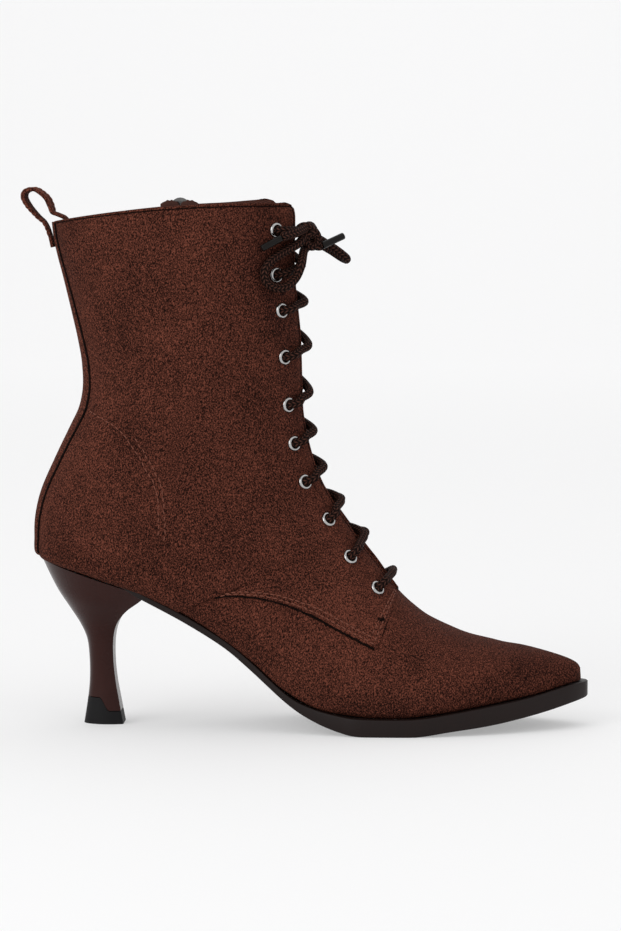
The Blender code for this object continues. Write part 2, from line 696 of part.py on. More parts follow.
def feather(x):
    """Height and half widths of the open underside at a place along the boot."""
    rows = np.linspace(0, CORNER_ROW, 240)
    found = [section_at(r) for r in rows]
    xs = [-s.base_x for s in found]
    return [
        float(np.interp(-x, xs, [getattr(s, name) for s in found]))
        for name in ("base_z", "lat_base", "med_base")
    ]


def build_insole(boot, parts, cloth):
    rings = []
    stations = np.linspace(INSOLE_TOE, INSOLE_TURN, INSOLE_STATIONS)
    for x in np.concatenate([stations, [(INSOLE_TURN + INSOLE_HEEL) / 2, INSOLE_HEEL]]):
        z, lat, med = feather(x)
        inset = INSOLE_INSET if x > INSOLE_SEAT else 2 * INSOLE_INSET
        low, high = z + GAP, z + GAP + INSOLE_THICK
        left, right = -(lat - inset), med - inset
        rings.append([(x, left, low), (x, right, low), (x, right, high), (x, left, high)])
    add_object("insole", lofted(rings, "insole"), parts, cloth, boot)


def build_outsole(boot, parts, rubber):
    edge = SOLE_EDGE_ROUND
    rings = []
    for s in SOLE:
        round_off = min(edge, s.lat * 0.5, (s.top - s.bottom) * 0.3)
        rings.append(
            [
                (s.x, -s.lat + round_off, s.bottom),
                (s.x, s.med - round_off, s.bottom),
                (s.x, s.med, s.bottom + round_off),
                (s.x, s.med, s.top),
                (s.x, -s.lat, s.top),
                (s.x, -s.lat, s.bottom + round_off),
            ]
        )
    add_object("outsole", lofted(rings, "outsole"), parts, rubber, boot)


def heel_ring(row):
    """One section of the heel: a round back and a nearly flat breast."""
    side = []
    for k in range(HEEL_SIDE_POINTS):
        share = 0.5 - 0.5 * math.cos(math.pi * k / (HEEL_SIDE_POINTS - 1))
        if share < HEEL_ROUND_SHARE:
            width = math.sqrt(max(1 - (1 - share / HEEL_ROUND_SHARE) ** 2, 0.0))
        else:
            width = 1 - HEEL_BREAST_DRAW * ((share - HEEL_ROUND_SHARE) / (1 - HEEL_ROUND_SHARE)) ** 2
        x = row.back_x + (row.breast_x - row.back_x) * share
        z = row.back_z + (row.breast_z - row.back_z) * share + 4 * row.rise * share * (1 - share)
        side.append((x, row.half * width, z))
    other = [(x, -y, z) for x, y, z in reversed(side[1:])]
    return side + other


def wave_outline(gap, top):
    """Side outline above or below the wave-shaped line between heel and top piece."""
    wave = [(WAVE_CUT_BACK, TIP_HIGH + gap)]
    for k in range(TIP_WAVE_STEPS + 1):
        t = k / TIP_WAVE_STEPS
        x = TIP_WAVE_FROM + (TIP_WAVE_TO - TIP_WAVE_FROM) * t
        z = TIP_HIGH + (TIP_LOW - TIP_HIGH) * (0.5 - 0.5 * math.cos(math.pi * t))
        wave.append((x, z + gap))
    return wave + [(WAVE_CUT_FRONT, TIP_LOW + gap), (WAVE_CUT_FRONT, top), (WAVE_CUT_BACK, top)]


def build_heel(boot, parts, cutters, lacquer, rubber):
    rings = [heel_ring(row) for row in HEEL]
    heel = add_object("heel", lofted(rings, "heel"), parts, lacquer, boot)
    tip = add_object("heel_tip", lofted(rings, "heel_tip"), parts, rubber, boot)
    above = prism(wave_outline(GAP, WAVE_CUT_TOP), WAVE_CUT_HALF, "above_wave")
    below = prism(wave_outline(0.0, WAVE_CUT_LOW), WAVE_CUT_HALF, "below_wave")
    cut(heel, add_cutter("above_wave", above, cutters, boot), "INTERSECT")
    cut(tip, add_cutter("below_wave", below, cutters, boot), "INTERSECT")


def build_pull_loop(boot, parts, suede):
    route = [spline(PULL_LOOP, t) for t in np.linspace(0, len(PULL_LOOP) - 1, BAND_STATIONS)]
    rings = []
    for k, at in enumerate(route):
        way = route[min(k + 1, len(route) - 1)] - route[max(k - 1, 0)]
        way = way / np.linalg.norm(way)
        side = np.array([-way[1], way[0]]) * BAND_THICK / 2
        ring = []
        for sign, y in ((1, -1), (1, 1), (-1, 1), (-1, -1)):
            flat = at + side * sign
            high = min(max((flat[1] - BAND_TURN_FROM) / BAND_TURN_OVER, 0.0), 1.0)
            turn = BAND_TURN * high
            half = y * BAND_WIDTH / 2
            ring.append((flat[0] + half * math.sin(turn), half * math.cos(turn), flat[1]))
        rings.append(ring)
    add_object("pull_loop", lofted(rings, "pull_loop"), parts, suede, boot)


def row_at_side(x, z, side):
    """Row and way from the throat edge of the skin point nearest to a place in the side view."""
    best = None
    for row in np.linspace(FLAP_ROW, len(SECTIONS) - 1, 120):
        points = half_section(row, side)
        off = np.hypot(points[:, 0] - x, points[:, 2] - z)
        k = int(np.argmin(off))
        if best is None or off[k] < best[0]:
            best = (off[k], row, arc_lengths(points)[k] - throat_start(row, side))
    return best[1], best[2]


def zip_grid(halves, heights, out):
    grid = []
    for z in heights:
        for dx in halves:
            row, from_edge = row_at_side(ZIP_X + dx, z, MEDIAL)
            at = skin_point(row, MEDIAL, from_edge)
            normal = skin_normal(row, MEDIAL, from_edge)
            shift = np.array([ZIP_X + dx - at[0], 0.0, z - at[2]])
            grid.append(at + shift + normal * out)
    return grid


def build_zip(boot, parts, cloth, metal):
    heights = np.linspace(ZIP_LOW - ZIP_TAPE_BELOW, ZIP_TAPE_TOP, ZIP_STATIONS)
    halves = (-ZIP_TAPE_HALF, -ZIP_TAPE_HALF / 2, 0.0, ZIP_TAPE_HALF / 2, ZIP_TAPE_HALF)
    outer = -(WALL + ZIP_TAPE_GAP)
    tape = slab(
        zip_grid(halves, heights, outer),
        zip_grid(halves, heights, outer - ZIP_TAPE_THICK),
        len(heights),
        len(halves),
        "zip_tape",
    )
    add_object("zip_tape", tape, parts, cloth, boot)
    half = ZIP_TEETH_WIDE / 2
    top = SLIDER_Z - SLIDER_SIZE[2] / 2 - GAP
    heights = np.linspace(ZIP_LOW + ZIP_TEETH_ABOVE, top, ZIP_STATIONS)
    low = outer + ZIP_TEETH_OFF
    teeth = slab(
        zip_grid((-half, 0.0, half), heights, low + ZIP_TEETH_THICK),
        zip_grid((-half, 0.0, half), heights, low),
        len(heights),
        3,
        "zip_teeth",
    )
    add_object("zip_teeth", teeth, parts, metal, boot)


def box_mesh(size, centre, name, bevel=0.0):
    work = bmesh.new()
    bmesh.ops.create_cube(work, size=1.0)
    for v in work.verts:
        v.co = Vector([(v.co[k] * size[k] + centre[k]) * MM for k in range(3)])
    if bevel:
        bmesh.ops.bevel(
            work, geom=work.edges[:], offset=bevel * MM, segments=1, affect="EDGES", profile=0.5
        )
    made = bpy.data.meshes.new(name)
    work.to_mesh(made)
    work.free()
    return made


def zip_head(boot):
    """Empty on the slider, upright, its local Y axis pointing out of the boot."""
    row, from_edge = row_at_side(ZIP_X, SLIDER_Z, MEDIAL)
    normal = skin_normal(row, MEDIAL, from_edge)
    made = bpy.data.objects.new("zip_head", None)
    made.parent = boot
    made.location = Vector(skin_point(row, MEDIAL, from_edge)) * MM
    made.rotation_euler = (0.0, 0.0, math.atan2(-normal[0], normal[1]))
    return made


def build_slider(boot, parts, cutters, metal):
    head = zip_head(boot)
    parts.objects.link(head)
    back = QUARTER_STEP + GAP
    front = back + SLIDER_SIZE[1]
    body = box_mesh(SLIDER_SIZE, (0, (back + front) / 2, 0), "zip_slider", SLIDER_BEVEL)
    slider = add_object("zip_slider", body, parts, metal, head)
    bail = box_mesh(BAIL_SIZE, (0, front + BAIL_SIZE[1] / 2 - BAIL_SUNK, 0), "bail")
    window = box_mesh(BAIL_WINDOW, (0, front + BAIL_WINDOW[1] / 2, 0), "bail_window")
    cut(slider, add_cutter("bail", bail, cutters, head), "UNION")
    cut(slider, add_cutter("bail_window", window, cutters, head), "DIFFERENCE")

    hinge = bpy.data.objects.new("tab_hinge", None)
    hinge.parent = head
    hinge.location = Vector((0, front + BAIL_WINDOW[1] / 2, -TAB_BAR / 2)) * MM
    parts.objects.link(hinge)
    plate = box_mesh(TAB_SIZE, (0, 0, (TAB_BAR - TAB_SIZE[2]) / 2), "zip_pull_tab", TAB_BEVEL)
    tab = add_object("zip_pull_tab", plate, parts, metal, hinge)
    through = (TAB_HOLE[0], 4 * TAB_SIZE[1], TAB_HOLE[1])
    hole = box_mesh(through, (0, 0, -(TAB_BAR + TAB_HOLE[1]) / 2), "tab_hole")
    cut(tab, add_cutter("tab_hole", hole, cutters, hinge), "DIFFERENCE")


def build_eyelets(boot, parts, metal):
    profile = [
        (EYELET_BORE, -EYELET_DEPTH),
        (EYELET_BORE + EYELET_CROWN, GAP + EYELET_HEIGHT),
        (EYELET_RIM, GAP),
        (EYELET_BARREL, GAP),
        (EYELET_BARREL, -EYELET_DEPTH),
    ]
    rings = []
    for k in range(EYELET_SIDES):
        angle = 2 * math.pi * k / EYELET_SIDES
        rings.append([(r * math.cos(angle), r * math.sin(angle), z) for r, z in profile])
    rings.append(rings[0])
    mesh = lofted(rings, "eyelet", capped=False)
    mesh.materials.append(metal)
    for number, eyelet in enumerate(EYELETS, 1):
        for side, word in ((LATERAL, "lateral"), (MEDIAL, "medial")):
            made = add_object(f"eyelet_{word}_{number:02d}", mesh, parts, parent=boot)
            made.matrix_local = eyelet_frame(eyelet, side)


def tube_mesh(points, radius, name, smooth=2.0):
    """A closed tube along a smooth curve through a few points."""
    count = max(int((len(points) - 1) * smooth) + 1, 2)
    route = [spline(points, t) for t in np.linspace(0, len(points) - 1, count)]
    curve = bpy.data.curves.new(name, "CURVE")
    curve.dimensions = "3D"
    curve.bevel_depth = radius * MM
    curve.bevel_resolution = 2
    curve.use_fill_caps = True
    line = curve.splines.new("POLY")
    line.points.add(len(route) - 1)
    for spot, at in zip(line.points, route):
        spot.co = (*[float(c) * MM for c in at], 1.0)
    guide = bpy.data.objects.new(name, curve)
    bpy.context.scene.collection.objects.link(guide)
    bpy.context.view_layer.update()
    shown = guide.evaluated_get(bpy.context.evaluated_depsgraph_get())
    mesh = bpy.data.meshes.new_from_object(shown)
    bpy.data.objects.remove(guide, do_unlink=True)
    bpy.data.curves.remove(curve)
    work = bmesh.new()
    work.from_mesh(mesh)
    bmesh.ops.remove_doubles(work, verts=work.verts, dist=0.00001)
    bmesh.ops.recalc_face_normals(work, faces=work.faces)
    work.to_mesh(mesh)
    work.free()
    mesh.name = name
    mesh.shade_smooth()
    return mesh


def lace_leg(eyelet, above, side):
    """From over an eyelet, across the facing and its edge, to a little past the middle of the throat."""

    def row_at(share):
        return eyelet.row * (1 - share) + above.row * share

    over = offset_point(eyelet.row, side, eyelet.from_edge, LACE_CLEAR)
    facing = offset_point(row_at(LACE_FACING_SHARE), side, LACE_FACING_IN, LACE_FACING_OUT)
    edge = offset_point(row_at(LACE_EDGE_SHARE), side, LACE_EDGE_IN, LACE_EDGE_OUT)
    near = skin_point(row_at(0.5), side, 0.0)
    far = skin_point(row_at(0.5), -side, 0.0)
    s = section_at(row_at(0.5))
    front = np.array([s.front_x, 0.0, s.front_z])
    inward = np.array([s.base_x, 0.0, s.base_z]) - front
    inward = inward / np.linalg.norm(inward)
    cross = (near + far) / 2 - inward * LACE_CROSS_OUT
    cross = cross - inward * max(np.dot(cross - front, inward) - LACE_CROSS_MAX_DEPTH, 0.0)
    stop = cross + (far - near) / np.linalg.norm(far - near) * LACE_PAST_MIDDLE
    return [over, facing, edge, cross, stop]


def build_lace(boot, parts, cutters, braid):
    for number in range(2, len(EYELETS)):
        eyelet, above = EYELETS[number - 1], EYELETS[number - 2]
        name = f"lace_cross_{number:02d}"
        routes = [lace_leg(eyelet, above, side) for side in (LATERAL, MEDIAL)]
        legs = [tube_mesh(route, LACE_RADIUS, name, LACE_SMOOTH) for route in routes]
        crossing = add_object(name, legs[0], parts, braid, boot)
        other = add_cutter(f"{name}_leg", legs[1], cutters, boot)
        cut(crossing, other, "UNION", "MANIFOLD")
    low = EYELETS[-1]
    bar = []
    for side in (LATERAL, MEDIAL):
        half = [
            offset_point(low.row, side, low.from_edge, LACE_CLEAR),
            offset_point(low.row, side, LACE_FACING_IN, LACE_FACING_OUT),
            offset_point(low.row, side, LACE_EDGE_IN, LACE_EDGE_OUT),
        ]
        bar += half if side == LATERAL else half[::-1]
    add_object("lace_bar", tube_mesh(bar, LACE_RADIUS, "lace_bar", LACE_SMOOTH), parts, braid, boot)


def build_bow(boot, parts, braid, clear_tip):
    routes = {
        "lace_loop_lateral": (LOOP_LATERAL, LACE_RADIUS, braid),
        "lace_loop_medial": (LOOP_MEDIAL, LACE_RADIUS, braid),
        "lace_end_lateral": (END_LATERAL, LACE_RADIUS, braid),
        "lace_end_medial": (END_MEDIAL, LACE_RADIUS, braid),
        "lace_tip_lateral": (TIP_LATERAL, LACE_TIP_RADIUS, clear_tip),
        "lace_tip_medial": (TIP_MEDIAL, LACE_TIP_RADIUS, clear_tip),
    }
    for name, (route, radius, material) in routes.items():
        add_object(name, tube_mesh(route, radius, name, BOW_SMOOTH), parts, material, boot)
    work = bmesh.new()
    bmesh.ops.create_uvsphere(work, u_segments=10, v_segments=7, radius=1.0)
    for v in work.verts:
        v.co = Vector([(v.co[k] * KNOT_SIZE[k] + KNOT_CENTRE[k]) * MM for k in range(3)])
    mesh = bpy.data.meshes.new("lace_knot")
    work.to_mesh(mesh)
    work.free()
    mesh.shade_smooth()
    add_object("lace_knot", mesh, parts, braid, boot)


def main():
    clear_scene()
    parts = new_collection("heeled_boot")
    cutters = new_collection("heeled_boot_cutters")
    materials = {name: new_material(name) for name in FINISHES}
    boot = bpy.data.objects.new("boot_frame", None)
    boot.location = Vector((-ORIGIN_X, -ORIGIN_Y, 0.0)) * MM
    parts.objects.link(boot)
    build_upper(boot, parts, cutters, materials["suede"])
    build_back_strip(boot, parts, materials["suede"])
    build_tongue(boot, parts, materials["suede"])
    build_insole(boot, parts, materials["lining_cloth"])
    build_outsole(boot, parts, materials["sole_rubber"])
    build_heel(boot, parts, cutters, materials["heel_lacquer"], materials["black_rubber"])
    build_pull_loop(boot, parts, materials["suede"])
    build_zip(boot, parts, materials["lining_cloth"], materials["zip_metal"])
    build_slider(boot, parts, cutters, materials["zip_metal"])
    build_eyelets(boot, parts, materials["eyelet_nickel"])
    build_lace(boot, parts, cutters, materials["lace_braid"])
    build_bow(boot, parts, materials["lace_braid"], materials["clear_tip"])


main()
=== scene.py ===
# %% [markdown]
# # Dressing a heeled lace-up boot
# The frame holds the boot's plain solids. This lesson lays finer pieces over them: napped
# leather, thread, braided lace, bright eyelets, a lacquered heel. Lengths are millimetres counted
# from the back of the heel, as a boot maker marks a last, and `to_frame` turns them into the
# frame's metres.

# %% Load the frame
import json
import math
from collections import namedtuple
from functools import partial

import bpy
import numpy as np
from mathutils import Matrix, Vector


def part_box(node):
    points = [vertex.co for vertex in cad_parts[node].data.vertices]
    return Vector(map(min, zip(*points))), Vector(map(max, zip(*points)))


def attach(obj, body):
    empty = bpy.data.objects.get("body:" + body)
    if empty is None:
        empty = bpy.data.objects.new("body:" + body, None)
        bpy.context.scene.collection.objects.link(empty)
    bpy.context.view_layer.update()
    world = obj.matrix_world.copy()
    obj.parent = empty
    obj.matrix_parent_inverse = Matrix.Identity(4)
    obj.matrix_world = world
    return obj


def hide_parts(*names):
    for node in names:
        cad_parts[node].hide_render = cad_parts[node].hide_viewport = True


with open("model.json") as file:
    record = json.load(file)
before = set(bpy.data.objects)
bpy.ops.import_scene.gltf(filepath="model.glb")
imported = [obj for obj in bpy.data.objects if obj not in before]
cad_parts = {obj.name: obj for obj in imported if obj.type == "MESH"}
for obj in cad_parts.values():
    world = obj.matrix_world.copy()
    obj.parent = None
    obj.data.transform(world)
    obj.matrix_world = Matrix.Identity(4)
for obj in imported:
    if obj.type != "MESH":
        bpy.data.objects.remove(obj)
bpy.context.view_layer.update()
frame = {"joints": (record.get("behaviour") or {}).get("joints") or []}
BODY = "boot"
MM = 0.001
LAST_ORIGIN = np.array([119.7, 0.6, 0.0])


def to_frame(points):
    return (np.asarray(points, float) - LAST_ORIGIN) * MM


def table(columns, *rows):
    """Rows of a table whose columns have names."""
    Row = namedtuple("Row", columns)
    return [Row(*row) for row in rows]


def deselect():
    bpy.ops.object.select_all(action="DESELECT")


def pick(piece):
    """Leaves one piece selected and active, as a click on it does."""
    deselect()
    piece.select_set(True)
    bpy.context.view_layer.objects.active = piece


def edit(select="SELECT"):
    """Goes into edit mode with all, or nothing, selected."""
    bpy.ops.object.mode_set(mode="EDIT")
    bpy.ops.mesh.select_all(action=select)


def leave_edit():
    bpy.ops.object.mode_set(mode="OBJECT")


def smooth_below(degrees):
    """Shades the active piece smooth, and keeps sharper edges crisp."""
    bpy.ops.object.shade_smooth_by_angle(angle=math.radians(degrees))


# %% [markdown]
# ## Camera
# A shop photograph is taken from far off with a long lens, so that the boot keeps its
# proportions. The camera stands a little above the collar, looks slightly down, and a little from
# the toe's side.

# %% Camera
LOOK_AT = Vector((0.0023, 0.0, 0.1147))
DISTANCE = 1.62
AZIMUTH = math.radians(2.2)
ELEVATION = math.radians(4.6)
FRAME_WIDTH = 0.27447
SENSOR = 36.0
away = Vector((math.sin(AZIMUTH), -math.cos(AZIMUTH), math.tan(ELEVATION)))
bpy.ops.object.camera_add(
    location=LOOK_AT + away.normalized() * DISTANCE,
    rotation=(math.pi / 2 - ELEVATION, 0.0, AZIMUTH),
)
camera = bpy.context.object
camera.data.sensor_fit = "HORIZONTAL"
camera.data.sensor_width = SENSOR
camera.data.lens = SENSOR * DISTANCE / FRAME_WIDTH
bpy.context.scene.camera = camera
print("camera", [round(v, 3) for v in camera.location], "lens", round(camera.data.lens, 1))

# %% [markdown]
# ## Floor and light
# A pale sheet runs under the boot and curves up behind it, so no horizon shows. Large soft lamps
# stand for a studio's soft boxes: a strong one high on the left, a weak one on the right, one
# overhead, and one that lights the curved sheet behind the boot. The sheet glows a little too, as
# paper lit from below, so shadows stay pale.

# %% Floor and light
SHEET_SIZE = 12.0
SHEET_NEARER = -1.0
SHEET_RISE = 4.0
SWEEP_RADIUS = 2.0
PAPER_GLOW = 0.34
WORLD_LIGHT = 0.83
deselect()
bpy.ops.mesh.primitive_plane_add(size=SHEET_SIZE, location=(0.0, SHEET_NEARER, 0.0))
floor = bpy.context.object
floor.name = "studio_floor"
bpy.ops.object.transform_apply(location=True, rotation=False, scale=False)
edit("DESELECT")
leave_edit()
for edge in floor.data.edges:
    edge.select = all(floor.data.vertices[v].co.y > 0.0 for v in edge.vertices)
bpy.ops.object.mode_set(mode="EDIT")
bpy.ops.mesh.extrude_region_move(TRANSFORM_OT_translate={"value": (0.0, 0.0, SHEET_RISE)})
leave_edit()
bend = floor.modifiers.new("sweep", "BEVEL")
bend.width = SWEEP_RADIUS
bend.segments = 24
bend.limit_method = "ANGLE"
bpy.ops.object.modifier_apply(modifier="sweep")
bpy.ops.object.shade_smooth()
pale = bpy.data.materials.new("pale_paper")
pale.use_nodes = True
paper = pale.node_tree.nodes["Principled BSDF"]
paper.inputs["Base Color"].default_value = (0.56, 0.56, 0.563, 1.0)
paper.inputs["Emission Color"].default_value = (1.0, 1.0, 1.0, 1.0)
paper.inputs["Emission Strength"].default_value = PAPER_GLOW
paper.inputs["Roughness"].default_value = 0.9
floor.data.materials.append(pale)

LAMPS = table(
    "name place aim size power",
    ("key_box", (-1.4, -1.5, 1.0), (0.0, 0.0, 0.1), 1.6, 17.0),
    ("side_box", (1.5, -1.2, 0.8), (0.0, 0.0, 0.1), 1.4, 1.5),
    ("top_box", (0.1, 0.3, 2.0), (0.0, 0.0, 0.1), 2.2, 5.0),
    ("sweep_box", (0.0, 3.2, 2.4), (0.0, 4.8, 0.4), 2.4, 12.0),
)
for lamp in LAMPS:
    bpy.ops.object.light_add(type="AREA", location=lamp.place)
    box = bpy.context.object
    box.name = lamp.name
    box.data.size = lamp.size
    box.data.energy = lamp.power
    box.rotation_euler = (Vector(lamp.aim) - Vector(lamp.place)).to_track_quat("-Z", "Y").to_euler()
world = bpy.context.scene.world or bpy.data.worlds.new("studio")
bpy.context.scene.world = world
world.use_nodes = True
sky = world.node_tree.nodes["Background"]
sky.inputs["Color"].default_value = (1.0, 1.0, 1.0, 1.0)
sky.inputs["Strength"].default_value = WORLD_LIGHT
bpy.context.scene.view_settings.view_transform = "Standard"
print("lamps", [lamp.name for lamp in LAMPS])

# %% [markdown]
# ## The shape of the last
# Every piece of the upper lies on one form, the last. A table gives its sections from the toe tip
# to the heel and up to the collar, and a smooth curve through the rows gives any section between
# them. A place on the skin is told by its row, its side, and its way from the edge of the throat,
# which is how a maker marks a seam.

# %% Sections of the last
LATERAL = -1
MEDIAL = 1
WALL = 1.6
QUARTER_STEP = 0.9
FLAP_ROW = 8
CORNER_ROW = 17
TOP_ROW = 31
CROWN = 2.1
TURN_UNDER = 2.0
LIFT_REACH = 0.36
HALF_SAMPLES = 150
ROW_STEP = 0.05
NEAR_MIDDLE = 0.02
TOE_ROW = 0.02
SECTIONS = table(
    "front_x front_z base_x base_z lat med lat_base med_base widest lat_gap med_gap rise lift",
    (241.6, 25.2, 241.8, 20.2, 0.0, 0.0, 0.0, 0.0, 0.70, 0.0, 0.0, 0.0, 0.0),
    (239.6, 27.9, 239.9, 20.1, 5.6, 5.2, 4.6, 4.3, 0.70, 0.0, 0.0, 0.0, 0.0),
    (233.0, 30.8, 233.5, 19.0, 12.6, 11.4, 11.2, 10.2, 0.70, 0.0, 0.0, 0.0, 0.0),
    (219.0, 34.7, 219.0, 15.6, 22.6, 20.0, 20.4, 18.0, 0.71, 0.0, 0.0, 0.0, 0.0),
    (203.0, 37.8, 201.0, 12.7, 31.4, 28.8, 28.4, 26.2, 0.72, 0.0, 0.0, 0.0, 0.0),
    (189.0, 41.2, 183.0, 9.9, 37.6, 36.4, 34.2, 33.4, 0.73, 0.0, 0.0, 0.0, 0.0),
    (176.0, 47.5, 165.0, 7.9, 40.6, 40.0, 37.2, 36.0, 0.73, 0.0, 0.0, 0.0, 0.0),
    (167.0, 53.8, 152.0, 7.9, 41.0, 39.4, 37.4, 34.4, 0.73, 0.0, 0.0, 0.0, 0.0),
    (160.5, 60.1, 141.0, 8.6, 40.0, 37.4, 36.0, 31.6, 0.72, 6.0, 5.5, 0.0, 0.0),
    (158.6, 62.7, 126.0, 11.3, 38.8, 35.6, 33.8, 28.8, 0.71, 6.5, 5.6, 0.0, 0.0),
    (156.2, 65.9, 110.5, 19.8, 37.4, 34.4, 31.2, 26.6, 0.70, 7.0, 5.7, 0.0, 0.0),
    (151.6, 72.6, 99.5, 29.4, 36.2, 33.5, 29.2, 25.6, 0.69, 7.0, 5.7, 0.0, 0.0),
    (146.7, 78.9, 87.5, 38.7, 35.2, 32.9, 27.6, 25.2, 0.68, 7.0, 5.7, 0.0, 0.0),
    (142.1, 85.2, 70.0, 50.2, 34.3, 32.5, 26.6, 25.2, 0.67, 6.3, 5.7, 0.0, 0.0),
    (137.4, 91.8, 50.0, 60.2, 33.6, 32.2, 26.0, 25.4, 0.66, 5.6, 5.8, 0.0, 0.0),
    (134.0, 96.9, 28.0, 67.8, 33.0, 32.0, 23.8, 23.6, 0.64, 5.3, 6.0, 0.0, 0.0),
    (131.6, 101.1, 10.0, 73.0, 32.5, 31.8, 15.0, 15.0, 0.63, 5.0, 6.4, 0.0, 0.0),
    (129.7, 104.4, 2.3, 75.4, 32.2, 31.6, 0.0, 0.0, 0.62, 4.9, 7.0, 0.0, 0.0),
    (127.6, 108.1, 1.5, 83.4, 32.0, 31.4, 0.0, 0.0, 0.60, 4.8, 8.0, 0.0, 0.0),
    (124.7, 115.3, 2.0, 92.8, 31.7, 31.2, 0.0, 0.0, 0.58, 5.0, 9.6, 0.0, 0.0),
    (122.5, 122.7, 4.8, 104.0, 31.4, 31.0, 0.0, 0.0, 0.55, 5.2, 11.5, 0.0, 0.0),
    (120.6, 131.3, 11.2, 118.4, 31.2, 31.0, 0.0, 0.0, 0.53, 5.8, 13.4, 0.0, 0.0),
    (119.4, 140.1, 18.4, 133.6, 31.3, 31.1, 0.0, 0.0, 0.51, 6.4, 15.1, 0.0, 0.0),
    (119.1, 151.0, 23.0, 147.0, 31.7, 31.5, 0.0, 0.0, 0.50, 7.0, 16.3, 0.0, 0.0),
    (119.0, 162.0, 23.1, 159.4, 32.2, 32.0, 0.0, 0.0, 0.50, 7.6, 17.4, 0.0, 0.0),
    (118.8, 172.4, 21.3, 170.8, 32.9, 32.7, 0.0, 0.0, 0.50, 8.1, 18.5, 0.0, 0.0),
    (118.0, 182.6, 19.0, 181.2, 33.6, 33.4, 0.0, 0.0, 0.50, 8.6, 19.5, 0.2, 0.0),
    (117.2, 191.0, 16.7, 191.0, 34.2, 34.1, 0.0, 0.0, 0.50, 9.0, 20.1, 0.4, 0.0),
    (116.6, 200.0, 14.6, 199.6, 34.8, 34.7, 0.0, 0.0, 0.50, 9.4, 20.7, 0.8, 0.1),
    (116.6, 209.0, 12.5, 207.6, 35.3, 35.3, 0.0, 0.0, 0.50, 9.6, 21.1, 1.2, 0.5),
    (116.9, 218.7, 10.9, 214.8, 35.7, 35.7, 0.0, 0.0, 0.50, 9.8, 21.5, 1.8, 1.2),
    (116.9, 230.5, 10.0, 222.6, 36.0, 36.0, 0.0, 0.0, 0.50, 10.0, 21.9, 2.8, 2.0),
)


def spline(values, at):
    """Value at a fractional row of a table, along a smooth curve through its rows."""
    last = len(values) - 1
    at = min(max(at, 0.0), float(last))
    row = min(int(at), last - 1)
    part = at - row
    near = [np.asarray(values[min(max(row + k, 0), last)], float) for k in (-1, 0, 1, 2)]
    start = (near[2] - near[0]) / 2
    end = (near[3] - near[1]) / 2
    p2, p3 = part * part, part**3
    return (
        near[1] * (2 * p3 - 3 * p2 + 1)
        + start * (p3 - 2 * p2 + part)
        + near[2] * (3 * p2 - 2 * p3)
        + end * (p3 - p2)
    )


def row_between(rows, at):
    """A row of a table at a fractional place."""
    return type(rows[0])(*spline(rows, at))


def smooth_line(points, count):
    return np.array([spline(points, t) for t in np.linspace(0, len(points) - 1, count)])


def section_at(row):
    made = row_between(SECTIONS, row)
    closed = row >= CORNER_ROW
    return made._replace(
        lat_base=0.0 if closed else max(made.lat_base, 0.0),
        med_base=0.0 if closed else max(made.med_base, 0.0),
        lat_gap=max(made.lat_gap, 0.0) if row >= FLAP_ROW else 0.0,
        med_gap=max(made.med_gap, 0.0) if row >= FLAP_ROW else 0.0,
    )


def arc_lengths(points):
    return np.concatenate([[0.0], np.cumsum(np.linalg.norm(np.diff(points, axis=0), axis=1))])


def at_lengths(points, lengths, at):
    """Places on a line of points at given lengths along it."""
    return np.stack([np.interp(at, lengths, points[:, k]) for k in range(3)], axis=-1)


def half_section(row, side):
    """Points of one half of a section, from the ridge or shaft front to the feather line or back."""
    s = section_at(row)
    half, base = (s.lat, s.lat_base) if side == LATERAL else (s.med, s.med_base)
    turn = np.linspace(0, math.pi / 2, HALF_SAMPLES)
    over = s.widest * (1 - np.cos(turn) ** (2 / CROWN))
    under = s.widest + (1 - s.widest) * np.sin(turn) ** (2 / TURN_UNDER)
    along = np.concatenate([over, under[1:]])
    out_over = half * np.sin(turn) ** (2 / CROWN)
    out_under = base + (half - base) * np.cos(turn) ** (2 / TURN_UNDER)
    out = np.concatenate([out_over, out_under[1:]])
    front = np.array([s.front_x, s.front_z])
    run = np.array([s.base_x, s.base_z]) - front
    up = np.array([run[1], -run[0]]) / np.linalg.norm(run)
    flat = front + np.outer(along, run) + np.outer(4 * along * (1 - along) * s.rise, up)
    if side == MEDIAL:
        near = np.clip(1 - along / LIFT_REACH, 0.0, 1.0)
        flat[:, 1] += s.lift * near * near * (3 - 2 * near)
    return np.column_stack([flat[:, 0], side * out, flat[:, 1]])


def throat_start(row, side, points):
    s = section_at(row)
    gap = s.lat_gap if side == LATERAL else s.med_gap
    top = points[:HALF_SAMPLES]
    return float(np.interp(gap, np.abs(top[:, 1]), arc_lengths(top)))


def half_ways(row, side):
    """Points of half a section, and each one's way along the skin from the throat edge."""
    points = half_section(row, side)
    return points, arc_lengths(points) - throat_start(row, side, points)


def skin_length(row, side):
    """Way along the skin from the throat edge to the feather line or the back."""
    return half_ways(row, side)[1][-1]


def skin_line(row, side, ways):
    points = half_section(row, side)
    at = throat_start(row, side, points) + np.asarray(ways, float)
    return at_lengths(points, arc_lengths(points), at)


